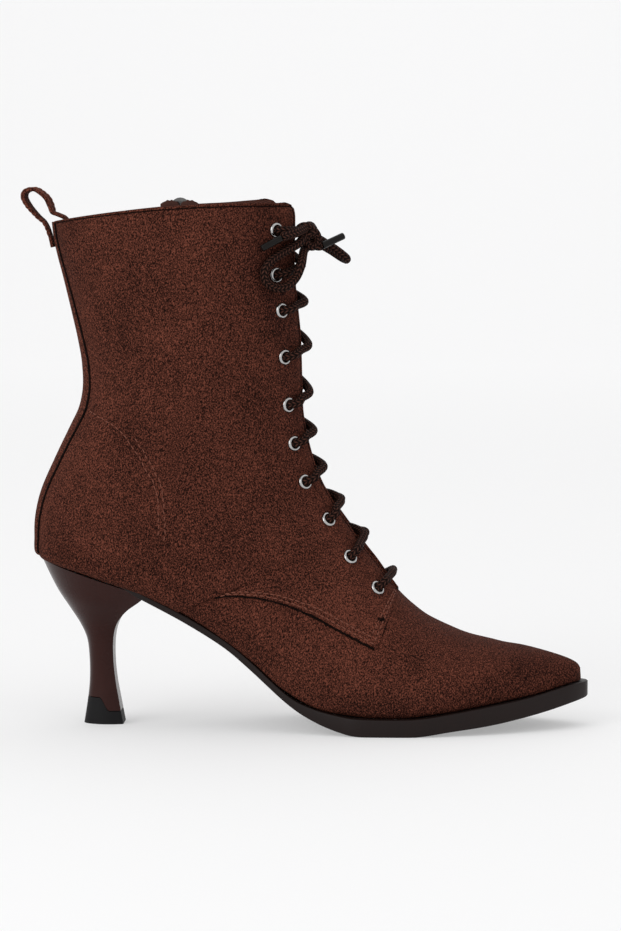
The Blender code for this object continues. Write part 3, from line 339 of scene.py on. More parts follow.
def skin(row, side, ways, out=0.0):
    """Places on the skin of one section, moved outwards."""
    ways = np.atleast_1d(np.asarray(ways, float))
    here = skin_line(row, side, ways)
    above, below = min(row + ROW_STEP, TOP_ROW), max(row - ROW_STEP, 0.0)
    along = skin_line(above, side, ways) - skin_line(below, side, ways)
    across = skin_line(row, side, ways + 1.0) - skin_line(row, side, np.maximum(ways - 1.0, -2.0))
    normal = np.cross(across, along) * side
    middle = np.abs(here[:, 1]) < NEAR_MIDDLE
    normal[middle, 1] = 0.0
    normal = normal / np.maximum(np.linalg.norm(normal, axis=1, keepdims=True), 1e-9)
    if row < TOE_ROW:
        normal[:] = (1.0, 0.0, 0.0)
    return here + normal * np.broadcast_to(out, ways.shape)[:, None], normal


print("last: length", SECTIONS[0].front_x, "collar at", SECTIONS[-1].front_z)

# %% [markdown]
# ## From a grid to a piece
# A sheet of leather starts as a plain grid primitive. Its points are then laid on the last, row
# by row, as a maker pulls leather over wood. Tubes and rings are grids too, rolled up until their
# long edges meet, and merging those edges closes them.

# %% Laying a grid on a form
WELD = 0.000012


def grid_piece(name, points, uv_size=(1.0, 1.0), closed=True, flip=False):
    """A piece whose grid of points [row, column] is given in the last's millimetres."""
    rows, columns = points.shape[:2]
    deselect()
    bpy.ops.mesh.primitive_grid_add(x_subdivisions=columns - 1, y_subdivisions=rows - 1, size=1.0)
    piece = bpy.context.object
    piece.name = name
    piece.data.name = name
    piece.data.vertices.foreach_set("co", to_frame(points).reshape(-1))
    layer = piece.data.uv_layers[0]
    flat = np.empty(len(layer.data) * 2)
    layer.data.foreach_get("uv", flat)
    layer.data.foreach_set("uv", (flat.reshape(-1, 2) * uv_size).reshape(-1))
    edit()
    if flip:
        bpy.ops.mesh.flip_normals()
    bpy.ops.mesh.remove_doubles(threshold=WELD)
    if closed:
        bpy.ops.mesh.normals_make_consistent(inside=False)
    leave_edit()
    bpy.ops.object.shade_smooth()
    return piece


def capped(rings):
    """A stack of rings with its two ends drawn to their middles, which closes it."""
    ends = [np.tile(np.mean(ring[:-1], axis=0), (len(ring), 1)) for ring in (rings[0], rings[-1])]
    return np.array([ends[0], *rings, ends[1]])


def apply_modifier(piece, kind, **values):
    pick(piece)
    made = piece.modifiers.new(kind.lower(), kind)
    for key, value in values.items():
        setattr(made, key, value)
    bpy.ops.object.modifier_apply(modifier=made.name)


def cut(piece, cutter):
    apply_modifier(piece, "BOOLEAN", operation="DIFFERENCE", object=cutter, solver="EXACT")


def thicken(piece, thickness):
    """Gives a sheet its thickness in millimetres, on its inner side."""
    apply_modifier(piece, "SOLIDIFY", thickness=thickness * MM, offset=-1.0)


def soften(piece, width, segments, degrees=30):
    """Bevels the edges that turn by more than an angle, so many millimetres wide."""
    limit = math.radians(degrees)
    apply_modifier(
        piece, "BEVEL", width=width * MM, segments=segments, limit_method="ANGLE", angle_limit=limit
    )


def block(size, middle=(0.0, 0.0, 0.0)):
    """A box of a size in millimetres, its middle at a place in the frame."""
    deselect()
    bpy.ops.mesh.primitive_cube_add(size=1.0, location=middle)
    made = bpy.context.object
    made.scale = [v * MM for v in size]
    bpy.ops.object.transform_apply(location=True, rotation=True, scale=True)
    return made


def join_pieces(pieces, name, merge=0.0):
    deselect()
    for piece in pieces:
        piece.select_set(True)
    bpy.context.view_layer.objects.active = pieces[0]
    bpy.ops.object.join()
    joined = bpy.context.object
    joined.name = name
    joined.data.name = name
    if merge:
        edit()
        bpy.ops.mesh.remove_doubles(threshold=merge)
        leave_edit()
    return joined


def rounded_box(left, right, low, high, radius, count):
    """A flat box with rounded corners of a few points each, closed."""
    corners = (
        (right - radius, high - radius, 0.0),
        (left + radius, high - radius, 0.5),
        (left + radius, low + radius, 1.0),
        (right - radius, low + radius, 1.5),
    )
    ring = []
    for u, v, begin in corners:
        for k in range(count):
            angle = (begin + k / (2 * (count - 1))) * math.pi
            ring.append((u + radius * math.cos(angle), v + radius * math.sin(angle)))
    return ring + ring[:1]


def square_to(route):
    """Directions square to a flat route, one at each of its points."""
    last = len(route) - 1
    ways = np.array([route[min(k + 1, last)] - route[max(k - 1, 0)] for k in range(last + 1)])
    ways /= np.linalg.norm(ways, axis=1, keepdims=True)
    return np.column_stack([-ways[:, 1], ways[:, 0]])


def wear(piece, material, slot, *nodes):
    """Gives a finished piece its material and its body, and hides the solids that it stands for; its slot
    is not used.
    """
    if material is not None:
        piece.data.materials.clear()
        piece.data.materials.append(material)
    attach(piece, BODY)
    if nodes:
        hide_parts(*nodes)
    return piece


print("helpers ready")

# %% [markdown]
# ## Finishes
# Suede is made of tiny fibres that lie in patches: a fine grain for the fibres, broad soft
# patches where the nap was stroked another way, and places pressed by hand. The pressed places
# also carry painted shade, darker beside the facing and close above the sole. That effect is used
# on several pieces, so it is a node group with named sockets. Cloth weave and cord braid are
# groups for the same reason.

# %% Node helpers
def place(tree, kind, values=None, **settings):
    node = tree.nodes.new(kind)
    for key, value in settings.items():
        setattr(node, key, value)
    for key, value in (values or {}).items():
        node.inputs[key].default_value = value
    return node


def maths(tree, operation, first, second=0.0):
    node = place(tree, "ShaderNodeMath", operation=operation)
    for socket, value in zip(node.inputs, (first, second)):
        if isinstance(value, (int, float)):
            socket.default_value = value
        else:
            tree.links.new(value, socket)
    return node.outputs[0]


def mix_colour(tree, share, first, second):
    node = place(tree, "ShaderNodeMix", data_type="RGBA")
    tree.links.new(share, node.inputs["Factor"])
    for name, value in (("A", first), ("B", second)):
        socket = [s for s in node.inputs if s.name == name and s.type == "RGBA"][0]
        if isinstance(value, tuple):
            socket.default_value = value
        else:
            tree.links.new(value, socket)
    return [s for s in node.outputs if s.type == "RGBA"][0]


def new_group(name, inputs, outputs):
    tree = bpy.data.node_groups.new(name, "ShaderNodeTree")
    for socket, kind, value in inputs:
        made = tree.interface.new_socket(socket, in_out="INPUT", socket_type=kind)
        made.default_value = value
    for socket, kind in outputs:
        tree.interface.new_socket(socket, in_out="OUTPUT", socket_type=kind)
    return tree, place(tree, "NodeGroupInput"), place(tree, "NodeGroupOutput")


print("node helpers ready")

# %% Nap of suede
GRAIN_GAIN = 3.2
PATCH_GAIN = 0.34
CLOUD_GAIN = 0.22
FIBRE_FINER = 2.7
CLOUD_COARSER = 0.36
MEAN_SHARE = 0.46
SPECK_POWER = 1.6
nap_tree, nap_in, nap_out = new_group(
    "nap",
    [
        ("Dark", "NodeSocketColor", (0.03, 0.01, 0.007, 1.0)),
        ("Light", "NodeSocketColor", (0.09, 0.035, 0.024, 1.0)),
        ("Grain", "NodeSocketFloat", 950.0),
        ("Patch", "NodeSocketFloat", 34.0),
        ("Pressed_and_shade", "NodeSocketFloat", 0.0),
    ],
    [("Color", "NodeSocketColor"), ("Roughness", "NodeSocketFloat"), ("Height", "NodeSocketFloat")],
)
coords = place(nap_tree, "ShaderNodeTexCoord")
lie = place(nap_tree, "ShaderNodeMapping", {"Rotation": (0.0, 0.6, 0.0), "Scale": (1.0, 1.0, 0.72)})
nap_tree.links.new(coords.outputs["Object"], lie.inputs["Vector"])
nap_sum = partial(maths, nap_tree, "ADD")
nap_times = partial(maths, nap_tree, "MULTIPLY")


def nap_noise(scale, detail, roughness):
    node = place(nap_tree, "ShaderNodeTexNoise", {"Detail": detail, "Roughness": roughness})
    nap_tree.links.new(lie.outputs["Vector"], node.inputs["Vector"])
    nap_tree.links.new(scale, node.inputs["Scale"])
    return node.outputs["Fac"]


def about_mean(noise, gain):
    """A noise counted from its mean, made stronger or weaker."""
    return nap_times(maths(nap_tree, "SUBTRACT", noise, 0.5), gain)


grain = nap_noise(nap_in.outputs["Grain"], 2.0, 0.6)
fibre = nap_noise(nap_times(nap_in.outputs["Grain"], FIBRE_FINER), 2.0, 0.5)
patch = nap_noise(nap_in.outputs["Patch"], 3.0, 0.55)
broad = nap_noise(nap_times(nap_in.outputs["Patch"], CLOUD_COARSER), 2.0, 0.5)
patches = nap_sum(about_mean(patch, PATCH_GAIN), about_mean(broad, CLOUD_GAIN))
# Pressed nap and painted shade darken the patches here.
stroked_and_shaded = maths(nap_tree, "SUBTRACT", patches, nap_in.outputs["Pressed_and_shade"])
share = nap_sum(nap_sum(about_mean(grain, GRAIN_GAIN), stroked_and_shaded), MEAN_SHARE)
clamp = place(nap_tree, "ShaderNodeClamp")
nap_tree.links.new(share, clamp.inputs["Value"])
specks = maths(nap_tree, "POWER", clamp.outputs[0], SPECK_POWER)
nap_colour = mix_colour(nap_tree, specks, nap_in.outputs["Dark"], nap_in.outputs["Light"])
nap_tree.links.new(nap_colour, nap_out.inputs["Color"])
nap_tree.links.new(nap_sum(nap_times(grain, 0.16), 0.8), nap_out.inputs["Roughness"])
nap_tree.links.new(nap_sum(grain, nap_times(fibre, 0.45)), nap_out.inputs["Height"])
print("nap group:", len(nap_tree.nodes), "nodes")

# %% Weave of cloth and braid of cord
weave_tree, weave_in, weave_out = new_group(
    "weave",
    [("Threads", "NodeSocketFloat", 9000.0)],
    [("Shade", "NodeSocketFloat"), ("Height", "NodeSocketFloat")],
)
weave_xyz = place(weave_tree, "ShaderNodeSeparateXYZ")
weave_tree.links.new(place(weave_tree, "ShaderNodeTexCoord").outputs["Object"], weave_xyz.inputs[0])
weave_maths = partial(maths, weave_tree)
side_way = weave_maths("ADD", weave_xyz.outputs["X"], weave_xyz.outputs["Y"])
warp, weft = (
    weave_maths("SINE", weave_maths("MULTIPLY", way, weave_in.outputs["Threads"]))
    for way in (side_way, weave_xyz.outputs["Z"])
)
woven = weave_maths("ADD", weave_maths("MULTIPLY", weave_maths("MULTIPLY", warp, weft), 0.5), 0.5)
weave_tree.links.new(woven, weave_out.inputs["Height"])
weave_tree.links.new(woven, weave_out.inputs["Shade"])

braid_tree, braid_in, braid_out = new_group(
    "braid",
    [("Strands", "NodeSocketFloat", 6.0), ("Pitch", "NodeSocketFloat", 2.4)],
    [("Shade", "NodeSocketFloat"), ("Height", "NodeSocketFloat")],
)
braid_xyz = place(braid_tree, "ShaderNodeSeparateXYZ")
braid_tree.links.new(place(braid_tree, "ShaderNodeTexCoord").outputs["UV"], braid_xyz.inputs[0])
BRAID_SLANT = 1.6
STITCH_EDGE = 2.6
braid_maths = partial(maths, braid_tree)
round_way = braid_maths("MULTIPLY", braid_xyz.outputs["X"], braid_in.outputs["Strands"])
long_way = braid_maths("DIVIDE", braid_xyz.outputs["Y"], braid_in.outputs["Pitch"])
rib = braid_maths("PINGPONG", round_way, 0.5)
slant = braid_maths("ADD", braid_maths("MULTIPLY", rib, BRAID_SLANT), long_way)


def ripple(way, ridges):
    """Even ridges along a way."""
    return braid_maths("ABSOLUTE", braid_maths("SINE", braid_maths("MULTIPLY", way, ridges * math.pi)))


stitch = braid_maths("POWER", ripple(slant, 1), STITCH_EDGE)
raised = braid_maths("MULTIPLY", stitch, ripple(round_way, 2))
braid_tree.links.new(raised, braid_out.inputs["Height"])
braid_tree.links.new(raised, braid_out.inputs["Shade"])
print("weave and braid groups ready")


# %% Materials
def new_finish(name, colour, roughness, metallic=0.0, **plain):
    made = bpy.data.materials.new(name)
    made.use_nodes = True
    shader = made.node_tree.nodes["Principled BSDF"]
    shader.inputs["Base Color"].default_value = (*colour, 1.0)
    shader.inputs["Roughness"].default_value = roughness
    shader.inputs["Metallic"].default_value = metallic
    for key, value in plain.items():
        shader.inputs[key.replace("_", " ").title()].default_value = value
    return made, made.node_tree, shader


def add_bump(tree, shader, height, strength, distance):
    node = place(tree, "ShaderNodeBump", {"Strength": strength, "Distance": distance})
    tree.links.new(height, node.inputs["Height"])
    tree.links.new(node.outputs["Normal"], shader.inputs["Normal"])


def add_group(tree, group, **values):
    node = place(tree, "ShaderNodeGroup")
    node.node_tree = group
    for key, value in values.items():
        node.inputs[key].default_value = value
    return node


def suede_finish(name, dark, light, grain, patch):
    made, tree, shader = new_finish(name, light, 0.9)
    shader.inputs["Specular IOR Level"].default_value = 0.05
    nap = add_group(tree, nap_tree, Dark=(*dark, 1.0), Light=(*light, 1.0), Grain=grain, Patch=patch)
    tree.links.new(nap.outputs["Color"], shader.inputs["Base Color"])
    tree.links.new(nap.outputs["Roughness"], shader.inputs["Roughness"])
    # This attribute carries pressed nap and painted shade.
    pressed_and_shade = place(tree, "ShaderNodeAttribute", attribute_name="pressed_and_shade")
    tree.links.new(pressed_and_shade.outputs["Fac"], nap.inputs["Pressed_and_shade"])
    add_bump(tree, shader, nap.outputs["Height"], 0.4, 0.0004)
    return made


def woven_finish(name, dark, light, threads, roughness=0.85):
    made, tree, shader = new_finish(name, light, roughness)
    shader.inputs["Specular IOR Level"].default_value = 0.25
    weave = add_group(tree, weave_tree, Threads=threads)
    colour = mix_colour(tree, weave.outputs["Shade"], (*dark, 1.0), (*light, 1.0))
    tree.links.new(colour, shader.inputs["Base Color"])
    add_bump(tree, shader, weave.outputs["Height"], 0.4, 0.0002)
    return made


def speckled_finish(
    name, dark, light, rough_low, rough_high, scale, metallic=0.0, bump=0.0, gleam=0.5, **plain
):
    """Smooth stuff whose colour and gloss vary a little over its surface."""
    made, tree, shader = new_finish(name, light, rough_low, metallic, **plain)
    shader.inputs["Specular IOR Level"].default_value = gleam
    noise = place(tree, "ShaderNodeTexNoise", {"Scale": scale, "Detail": 4.0, "Roughness": 0.6})
    tree.links.new(place(tree, "ShaderNodeTexCoord").outputs["Object"], noise.inputs["Vector"])
    colour = mix_colour(tree, noise.outputs["Fac"], (*dark, 1.0), (*light, 1.0))
    tree.links.new(colour, shader.inputs["Base Color"])
    spread = maths(tree, "MULTIPLY", noise.outputs["Fac"], rough_high - rough_low)
    tree.links.new(maths(tree, "ADD", spread, rough_low), shader.inputs["Roughness"])
    if bump:
        add_bump(tree, shader, noise.outputs["Fac"], 0.3, bump)
    return made


suede = suede_finish("suede", (0.0070, 0.0021, 0.0015), (0.168, 0.0500, 0.0308), 2050.0, 40.0)
suede_strip = suede_finish("suede_strip", (0.0100, 0.0031, 0.0021), (0.190, 0.0570, 0.0355), 2050.0, 60.0)
# A near-black suede finish. On the cut-edge cords and the sunk collar and facing stitches it is painted
# shade; the bar tacks take it too.
dark_seam_and_painted_shade = suede_finish("dark_seam_and_painted_shade", (0.002, 0.001, 0.0008), (0.010, 0.004, 0.003), 1400.0, 90.0)
thread = speckled_finish(
    "thread", (0.105, 0.034, 0.021), (0.200, 0.070, 0.045), 0.55, 0.75, 900.0, gleam=0.15
)
lining = woven_finish("lining_cloth", (0.034, 0.0110, 0.0072), (0.096, 0.0310, 0.0200), 7000.0)
tape_cloth = woven_finish("zip_tape_cloth", (0.026, 0.009, 0.006), (0.082, 0.028, 0.019), 9000.0)
sole_rubber = speckled_finish(
    "sole_rubber", (0.006, 0.0026, 0.0021), (0.011, 0.0045, 0.0036), 0.42, 0.6, 120.0,
    bump=0.00006, gleam=0.2,
)
heel_lacquer = speckled_finish(
    "heel_lacquer", (0.019, 0.0042, 0.0030), (0.030, 0.0075, 0.0054), 0.22, 0.32, 60.0,
    gleam=0.08, coat_weight=0.15, coat_roughness=0.08,
)
black_rubber = speckled_finish(
    "black_rubber", (0.004, 0.0037, 0.004), (0.008, 0.0073, 0.008), 0.5, 0.7, 300.0,
    bump=0.00008, gleam=0.15,
)
nickel = speckled_finish(
    "eyelet_nickel", (0.30, 0.295, 0.29), (0.58, 0.575, 0.57), 0.10, 0.22, 400.0, metallic=1.0
)
zip_metal = speckled_finish(
    "zip_metal", (0.03, 0.03, 0.03), (0.26, 0.255, 0.25), 0.08, 0.22, 500.0, metallic=1.0
)
tip_film = speckled_finish(
    "clear_tip", (0.003, 0.0024, 0.0022), (0.009, 0.007, 0.006), 0.2, 0.3, 300.0,
    gleam=0.12, coat_weight=0.04,
)
cord, cord_tree, cord_shader = new_finish("lace_braid", (0.03, 0.014, 0.01), 0.75)
cord_shader.inputs["Specular IOR Level"].default_value = 0.06
braid = add_group(cord_tree, braid_tree, Strands=4.0, Pitch=1.7)
cord_colour = mix_colour(
    cord_tree, braid.outputs["Shade"], (0.0010, 0.0005, 0.0004, 1.0), (0.082, 0.0320, 0.0220, 1.0)
)
cord_tree.links.new(cord_colour, cord_shader.inputs["Base Color"])
add_bump(cord_tree, cord_shader, braid.outputs["Height"], 0.8, 0.0005)
print("materials", len(bpy.data.materials))

# %% [markdown]
# ## The lace
# The lace is one round braided cord. A bar lies over the lowest eyelets; from there each half
# goes in, crosses under the facing to the next eyelet on the other side, comes out, and turns
# over the facing's edge again. The two halves end in a bow. A tube is a grid rolled round a
# smooth path, with its ends drawn to a point.

# %% Tubes along a path
LACE_RADIUS = 1.95
TIP_RADIUS = 1.55
EYELETS = table(
    "row from_edge",
    (29.99, 14.1), (27.91, 14.0), (26.14, 12.9), (24.17, 13.3), (22.28, 11.8), (20.45, 11.5),
    (18.28, 11.8), (14.36, 11.5), (12.16, 14.4), (10.10, 13.7),
)


def tube_points(path, radii, sides):
    """Rings round a path, turned as little as possible from one to the next."""
    path = np.asarray(path, float)
    way = np.gradient(path, axis=0)
    way /= np.linalg.norm(way, axis=1, keepdims=True)
    across = np.cross(way[0], (0.0, 0.0, 1.0))
    if np.linalg.norm(across) < 0.1:
        across = np.cross(way[0], (0.0, 1.0, 0.0))
    rings = []
    angles = np.linspace(0, 2 * math.pi, sides + 1)
    for at, w, radius in zip(path, way, radii):
        across = across - w * np.dot(across, w)
        across /= np.linalg.norm(across)
        up = np.cross(w, across)
        rings.append(at + radius * (np.outer(np.cos(angles), across) + np.outer(np.sin(angles), up)))
    return np.array(rings)


def tube_piece(name, path, radius, sides=14):
    length = arc_lengths(np.asarray(path, float))[-1]
    count = len(path)
    radii = np.full(count + 2, radius)
    radii[0] = radii[-1] = 0.0
    radii[1] = radii[-2] = radius * 0.92
    full = np.vstack([path[:1], path, path[-1:]]).astype(float)
    full[0] += (full[1] - full[2]) * 0.02
    full[-1] += (full[-2] - full[-3]) * 0.02
    return grid_piece(name, tube_points(full, radii, sides), uv_size=(1.0, length))


def even_path(points, step):
    dense = smooth_line(points, 40 * len(points))
    lengths = arc_lengths(dense)
    return at_lengths(dense, lengths, np.linspace(0, lengths[-1], max(int(lengths[-1] / step) + 1, 4)))


print("lace radius", LACE_RADIUS)

# %% Bow: two loops, two ends, two tips and a knot
NEAR_LOOP = table(
    "x y z",
    (121.8, -8.4, 217.8), (119.6, -13.2, 216.2), (117.7, -17.5, 213.2), (111.8, -22.5, 209.6),
    (106.2, -26.7, 205.8), (103.4, -28.7, 201.6), (103.8, -28.3, 197.0), (107.4, -26.6, 194.2),
    (112.2, -24.4, 194.3), (116.3, -22.0, 197.9), (118.8, -21.6, 203.5), (119.4, -15.4, 208.5),
    (119.7, -10.4, 210.0), (121.2, -8.4, 211.6), (123.4, -7.4, 212.4), (125.6, -8.4, 211.6),
    (127.5, -8.4, 211.9),
)
FAR_LOOP = table(
    "x y z",
    (123.0, -4.2, 215.6), (125.2, -1.6, 214.9), (128.8, 0.5, 212.7), (133.2, 2.5, 209.8),
    (136.8, 5.0, 206.9), (137.6, 8.4, 205.5), (135.5, 11.4, 206.3), (131.2, 10.0, 209.2),
    (126.9, 6.0, 212.1), (124.2, 2.2, 215.6), (122.9, -2.4, 219.6), (121.6, -9.0, 220.6),
    (119.6, -14.4, 219.2), (116.5, -21.0, 217.6), (113.2, -24.3, 216.6), (110.7, -26.0, 215.7),
)
FAR_TIP = table("x y z", (127.5, -8.4, 211.9), (136.8, -4.0, 216.2))
NEAR_TIP = table("x y z", (110.4, -26.2, 215.6), (102.0, -29.7, 211.0))
KNOT = table(
    "x y z",
    (117.4, -13.8, 219.2), (119.8, -12.8, 220.4), (122.6, -11.2, 219.4), (125.0, -9.8, 216.8),
    (125.4, -9.2, 213.8), (123.4, -10.0, 211.6), (120.9, -11.6, 212.8), (120.6, -12.6, 215.6),
    (122.4, -12.0, 217.6), (124.0, -9.6, 216.4),
)


def lace_tip(name, line, node):
    """A film-wrapped lace end: a plain cylinder with bevelled rims."""
    start, end = (Vector(to_frame(p)) for p in line)
    way = end - start
    deselect()
    bpy.ops.mesh.primitive_cylinder_add(
        vertices=20, radius=TIP_RADIUS * MM, depth=way.length, location=(start + end) / 2
    )
    tip = bpy.context.object
    tip.name = name
    tip.rotation_euler = way.to_track_quat("Z", "Y").to_euler()
    bpy.ops.object.transform_apply(location=True, rotation=True, scale=True)
    soften(tip, 0.5, 3)
    smooth_below(50)
    return wear(tip, tip_film, "clear_tip", node)


far_tip = lace_tip("lace_film_medial", FAR_TIP, "lace_tip_medial")
near_tip = lace_tip("lace_film_lateral", NEAR_TIP, "lace_tip_lateral")
for name, points, tip, nodes in (
    ("lace_bow_near", NEAR_LOOP, far_tip, ("lace_loop_lateral", "lace_end_medial")),
    ("lace_bow_far", FAR_LOOP, near_tip, ("lace_loop_medial", "lace_end_lateral")),
):
    path = even_path(points, 0.8)
    bow = wear(tube_piece(name, path, LACE_RADIUS), cord, "lace_braid", *nodes)
    line = to_frame(path)
    print(name, "length", round(float(arc_lengths(path)[-1]), 1), "mm")
wear(tube_piece("lace_bow_knot", even_path(KNOT, 0.7), LACE_RADIUS), cord, "lace_braid", "lace_knot")


# %% Laced runs through the eyelets
PAST_EDGE = -0.6
ON_FACING = 5.5
EYELET_LEAD = 3.4
BEHIND_EDGE = 3.4
IN_EYELET = 0.4
INSIDE = -3.4
UNDER_FACING = -3.9
DEEPEST_CROSSING = 4.6
OVER_CROSSING = 1.2
UNDER_CROSSING = -0.6
LACE_CLEAR = QUARTER_STEP + LACE_RADIUS + 0.25
LEAD_LIFT = 0.35
EDGE_LIFT = 0.5
# Shares of the rise from one eyelet to the next at which the lace has left the eyelet, lies on the
# facing, turns over its edge, crosses the middle and slips under the other facing.
RISE_LEAD, RISE_FACING, RISE_EDGE, RISE_MIDDLE, RISE_UNDER = 0.04, 0.13, 0.24, 0.5, 0.78
TOP_LEAD_LIFT = 0.4
TO_KNOT = table("down way lift", (0.0, 4.5, 0.2), (0.1, -1.0, 0.8))
KNOT_ENTRY = {LATERAL: (120.6, -3.6, 215.4), MEDIAL: (123.4, -0.6, 214.6)}


def spot(row, side, way, out):
    return skin(row, side, way, out)[0][0]


def over_facing(eyelet, side, gap):
    """From an eyelet to past the facing's edge, rising over a gap of rows to the next eyelet."""
    lead = eyelet.from_edge - EYELET_LEAD
    return [
        spot(eyelet.row + RISE_LEAD * gap, side, lead, LACE_CLEAR + LEAD_LIFT),
        spot(eyelet.row + RISE_FACING * gap, side, ON_FACING, LACE_CLEAR),
        spot(eyelet.row + RISE_EDGE * gap, side, PAST_EDGE, LACE_CLEAR + EDGE_LIFT),
    ]


def crossing(row, side, over):
    """Where one half crosses the other in the throat, over or under it."""
    near, far = (skin_line(row, each, np.array([0.0]))[0] for each in (side, -side))
    s = section_at(row)
    ridge = np.array([s.front_x, 0.0, s.front_z])
    inward = np.array([s.base_x, 0.0, s.base_z]) - ridge
    inward /= np.linalg.norm(inward)
    cross = (near + far) / 2 - inward * (OVER_CROSSING if over else UNDER_CROSSING)
    return cross - inward * max(np.dot(cross - ridge, inward) - DEEPEST_CROSSING, 0.0)


def lace_run(side, over):
    """One half of the lace, from the middle of the bar up to the knot."""
    low, top = EYELETS[-1], EYELETS[0]
    edges = [over_facing(low, each, 0.0)[-1] for each in (LATERAL, MEDIAL)]
    path = [(edges[0] + edges[1]) / 2, *reversed(over_facing(low, side, 0.0))]
    path += [spot(low.row, side, low.from_edge, out) for out in (IN_EYELET, INSIDE)]
    for eyelet, above in zip(EYELETS[:0:-1], EYELETS[-2::-1]):
        gap = above.row - eyelet.row
        if eyelet is not low:
            path += over_facing(eyelet, side, gap)
            path.append(crossing(eyelet.row + RISE_MIDDLE * gap, side, over))
        side, over = -side, not over
        path.append(spot(eyelet.row + RISE_UNDER * gap, side, BEHIND_EDGE, UNDER_FACING))
        path.append(spot(above.row, side, above.from_edge + 0.3, INSIDE))
        path.append(spot(above.row, side, above.from_edge, IN_EYELET))
    path.append(spot(top.row, side, top.from_edge - EYELET_LEAD, LACE_CLEAR + TOP_LEAD_LIFT))
    path += [spot(top.row - t.down, side, t.way, LACE_CLEAR + t.lift) for t in TO_KNOT]
    path.append(np.array(KNOT_ENTRY[side]))
    return even_path(path, 0.9)


CROSSINGS = [f"lace_cross_{n:02d}" for n in range(2, 10)]
for name, side, nodes in (("lace_run_a", LATERAL, ["lace_bar"]), ("lace_run_b", MEDIAL, CROSSINGS)):
    path = lace_run(side, side == LATERAL)
    wear(tube_piece(name, path, LACE_RADIUS * 0.97, 12), cord, "lace_braid", *nodes)
    print(name, "length", round(float(arc_lengths(path)[-1]), 1), "mm")

# %% [markdown]
# ## Creases
# Suede that has been lasted shows few folds: a soft trough over the stiff counter, a slack dip at
# the ankle, the edge of the toe stiffener. Each is a row of a short table, a line in the side
# view with a depth and a width, and every sheet of the upper is pressed by the same function, so
# layers stay together.

# %% Soft troughs and ridges
CREASES = table(
    "x0 z0 x1 z1 depth width",
    (22.0, 139.0, 48.0, 126.5, -0.55, 4.5),
    (48.0, 126.0, 62.0, 104.0, -0.35, 5.0),
    (30.0, 122.0, 46.0, 112.0, 0.40, 7.0),
    (40.0, 190.0, 46.0, 214.0, -0.45, 6.0),
    (70.0, 150.0, 96.0, 142.0, -0.40, 7.0),
    (66.0, 164.0, 98.0, 158.0, 0.30, 8.0),
    (98.0, 120.0, 112.0, 112.0, -0.35, 5.0),
    (172.0, 46.0, 180.0, 30.0, -0.35, 4.0),
    (184.0, 40.0, 190.0, 24.0, 0.25, 5.0),
    (208.0, 35.0, 211.0, 16.0, -0.30, 3.0),
    (120.0, 40.0, 140.0, 30.0, -0.30, 6.0),
    (60.0, 90.0, 84.0, 82.0, 0.30, 9.0),
)


def near_lines(rows, x, z):
    """Sum of a table's depths at places in the side view, each fading away from its own line."""
    total = np.zeros(x.shape)
    for r in rows:
        run = np.array([r.x1 - r.x0, r.z1 - r.z0])
        share = np.clip(((x - r.x0) * run[0] + (z - r.z0) * run[1]) / (run @ run), 0.0, 1.0)
        off = np.hypot(x - r.x0 - share * run[0], z - r.z0 - share * run[1])
        total += r.depth * np.exp(-0.5 * (off / r.width) ** 2)
    return total


def press(points):
    """How far the creases move the skin at given places, outwards positive."""
    return near_lines(CREASES, points[..., 0], points[..., 2])


def laid(row, side, ways, out):
    """Places on the creased skin."""
    here, normal = skin(row, side, ways)
    return here + normal * (np.broadcast_to(out, here.shape[:1]) + press(here))[:, None]


print("creases", len(CREASES))

# %% Pressed places of the nap, and painted shade
# The darker rows along the facing and close above the sole are painted shade; the other rows are pressed
# or brushed nap.
NAP_STROKES_AND_SHADE = table(
    "x0 z0 x1 z1 depth width",
    (103.0, 228.0, 108.0, 176.0, 0.13, 5.0),
    (111.0, 172.0, 117.0, 136.0, 0.07, 3.0),
    (21.0, 202.0, 42.0, 168.0, 0.06, 4.5),
    (33.0, 147.0, 40.0, 142.0, -0.05, 4.0),
    (37.0, 133.0, 49.0, 125.0, 0.10, 3.5),
    (22.0, 116.0, 48.0, 100.0, -0.07, 9.0),
    (14.0, 78.0, 40.0, 66.0, 0.09, 4.5),
    (74.0, 94.0, 92.0, 90.0, 0.04, 6.0),
    (138.0, 58.0, 146.0, 46.0, -0.08, 6.0),
    (76.0, 50.0, 108.0, 32.0, 0.09, 5.0),
    (118.0, 20.0, 160.0, 10.0, 0.08, 3.5),
    (140.0, 25.0, 152.0, 26.0, -0.06, 5.0),
    (168.0, 36.0, 172.0, 31.0, 0.08, 3.5),
    (180.0, 30.0, 188.0, 28.0, -0.05, 4.0),
    (160.0, 13.0, 200.0, 16.0, 0.07, 3.0),
    (200.0, 20.0, 214.0, 26.0, 0.10, 4.0),
    (218.0, 30.0, 238.0, 22.0, 0.08, 6.0),
)


def stroke_nap_and_shade(piece):
    """Keeps on each point how far the nap is pressed there and how much painted shade it gets, which the
    suede's colour follows.
    """
    spots = np.empty(len(piece.data.vertices) * 3)
    piece.data.vertices.foreach_get("co", spots)
    x, _, z = (spots.reshape(-1, 3) / MM + LAST_ORIGIN).T
    pressed_and_shade = piece.data.attributes.new("pressed_and_shade", "FLOAT", "POINT")
    pressed_and_shade.data.foreach_set("value", near_lines(NAP_STROKES_AND_SHADE, x, z))


print("strokes", len(NAP_STROKES_AND_SHADE))

# %% [markdown]
# ## The upper
# The whole wall of the upper comes first, as one shell with cloth inside. The quarters are sewn
# over it as a second layer, so they are laid on the same last a little further out, and their cut
# edges roll down to the vamp. Each edge's roll is a short list of how far in and how far out the
# points lie.

# %% Wall of the upper
CORNER_HIGH = 6.6
CORNER_WIDE = 9.0
COLLAR_PITCH = 11.8
WALL_COLUMNS = 50
WALL_INSET = 0.5
HALVES_WELD = 0.00002


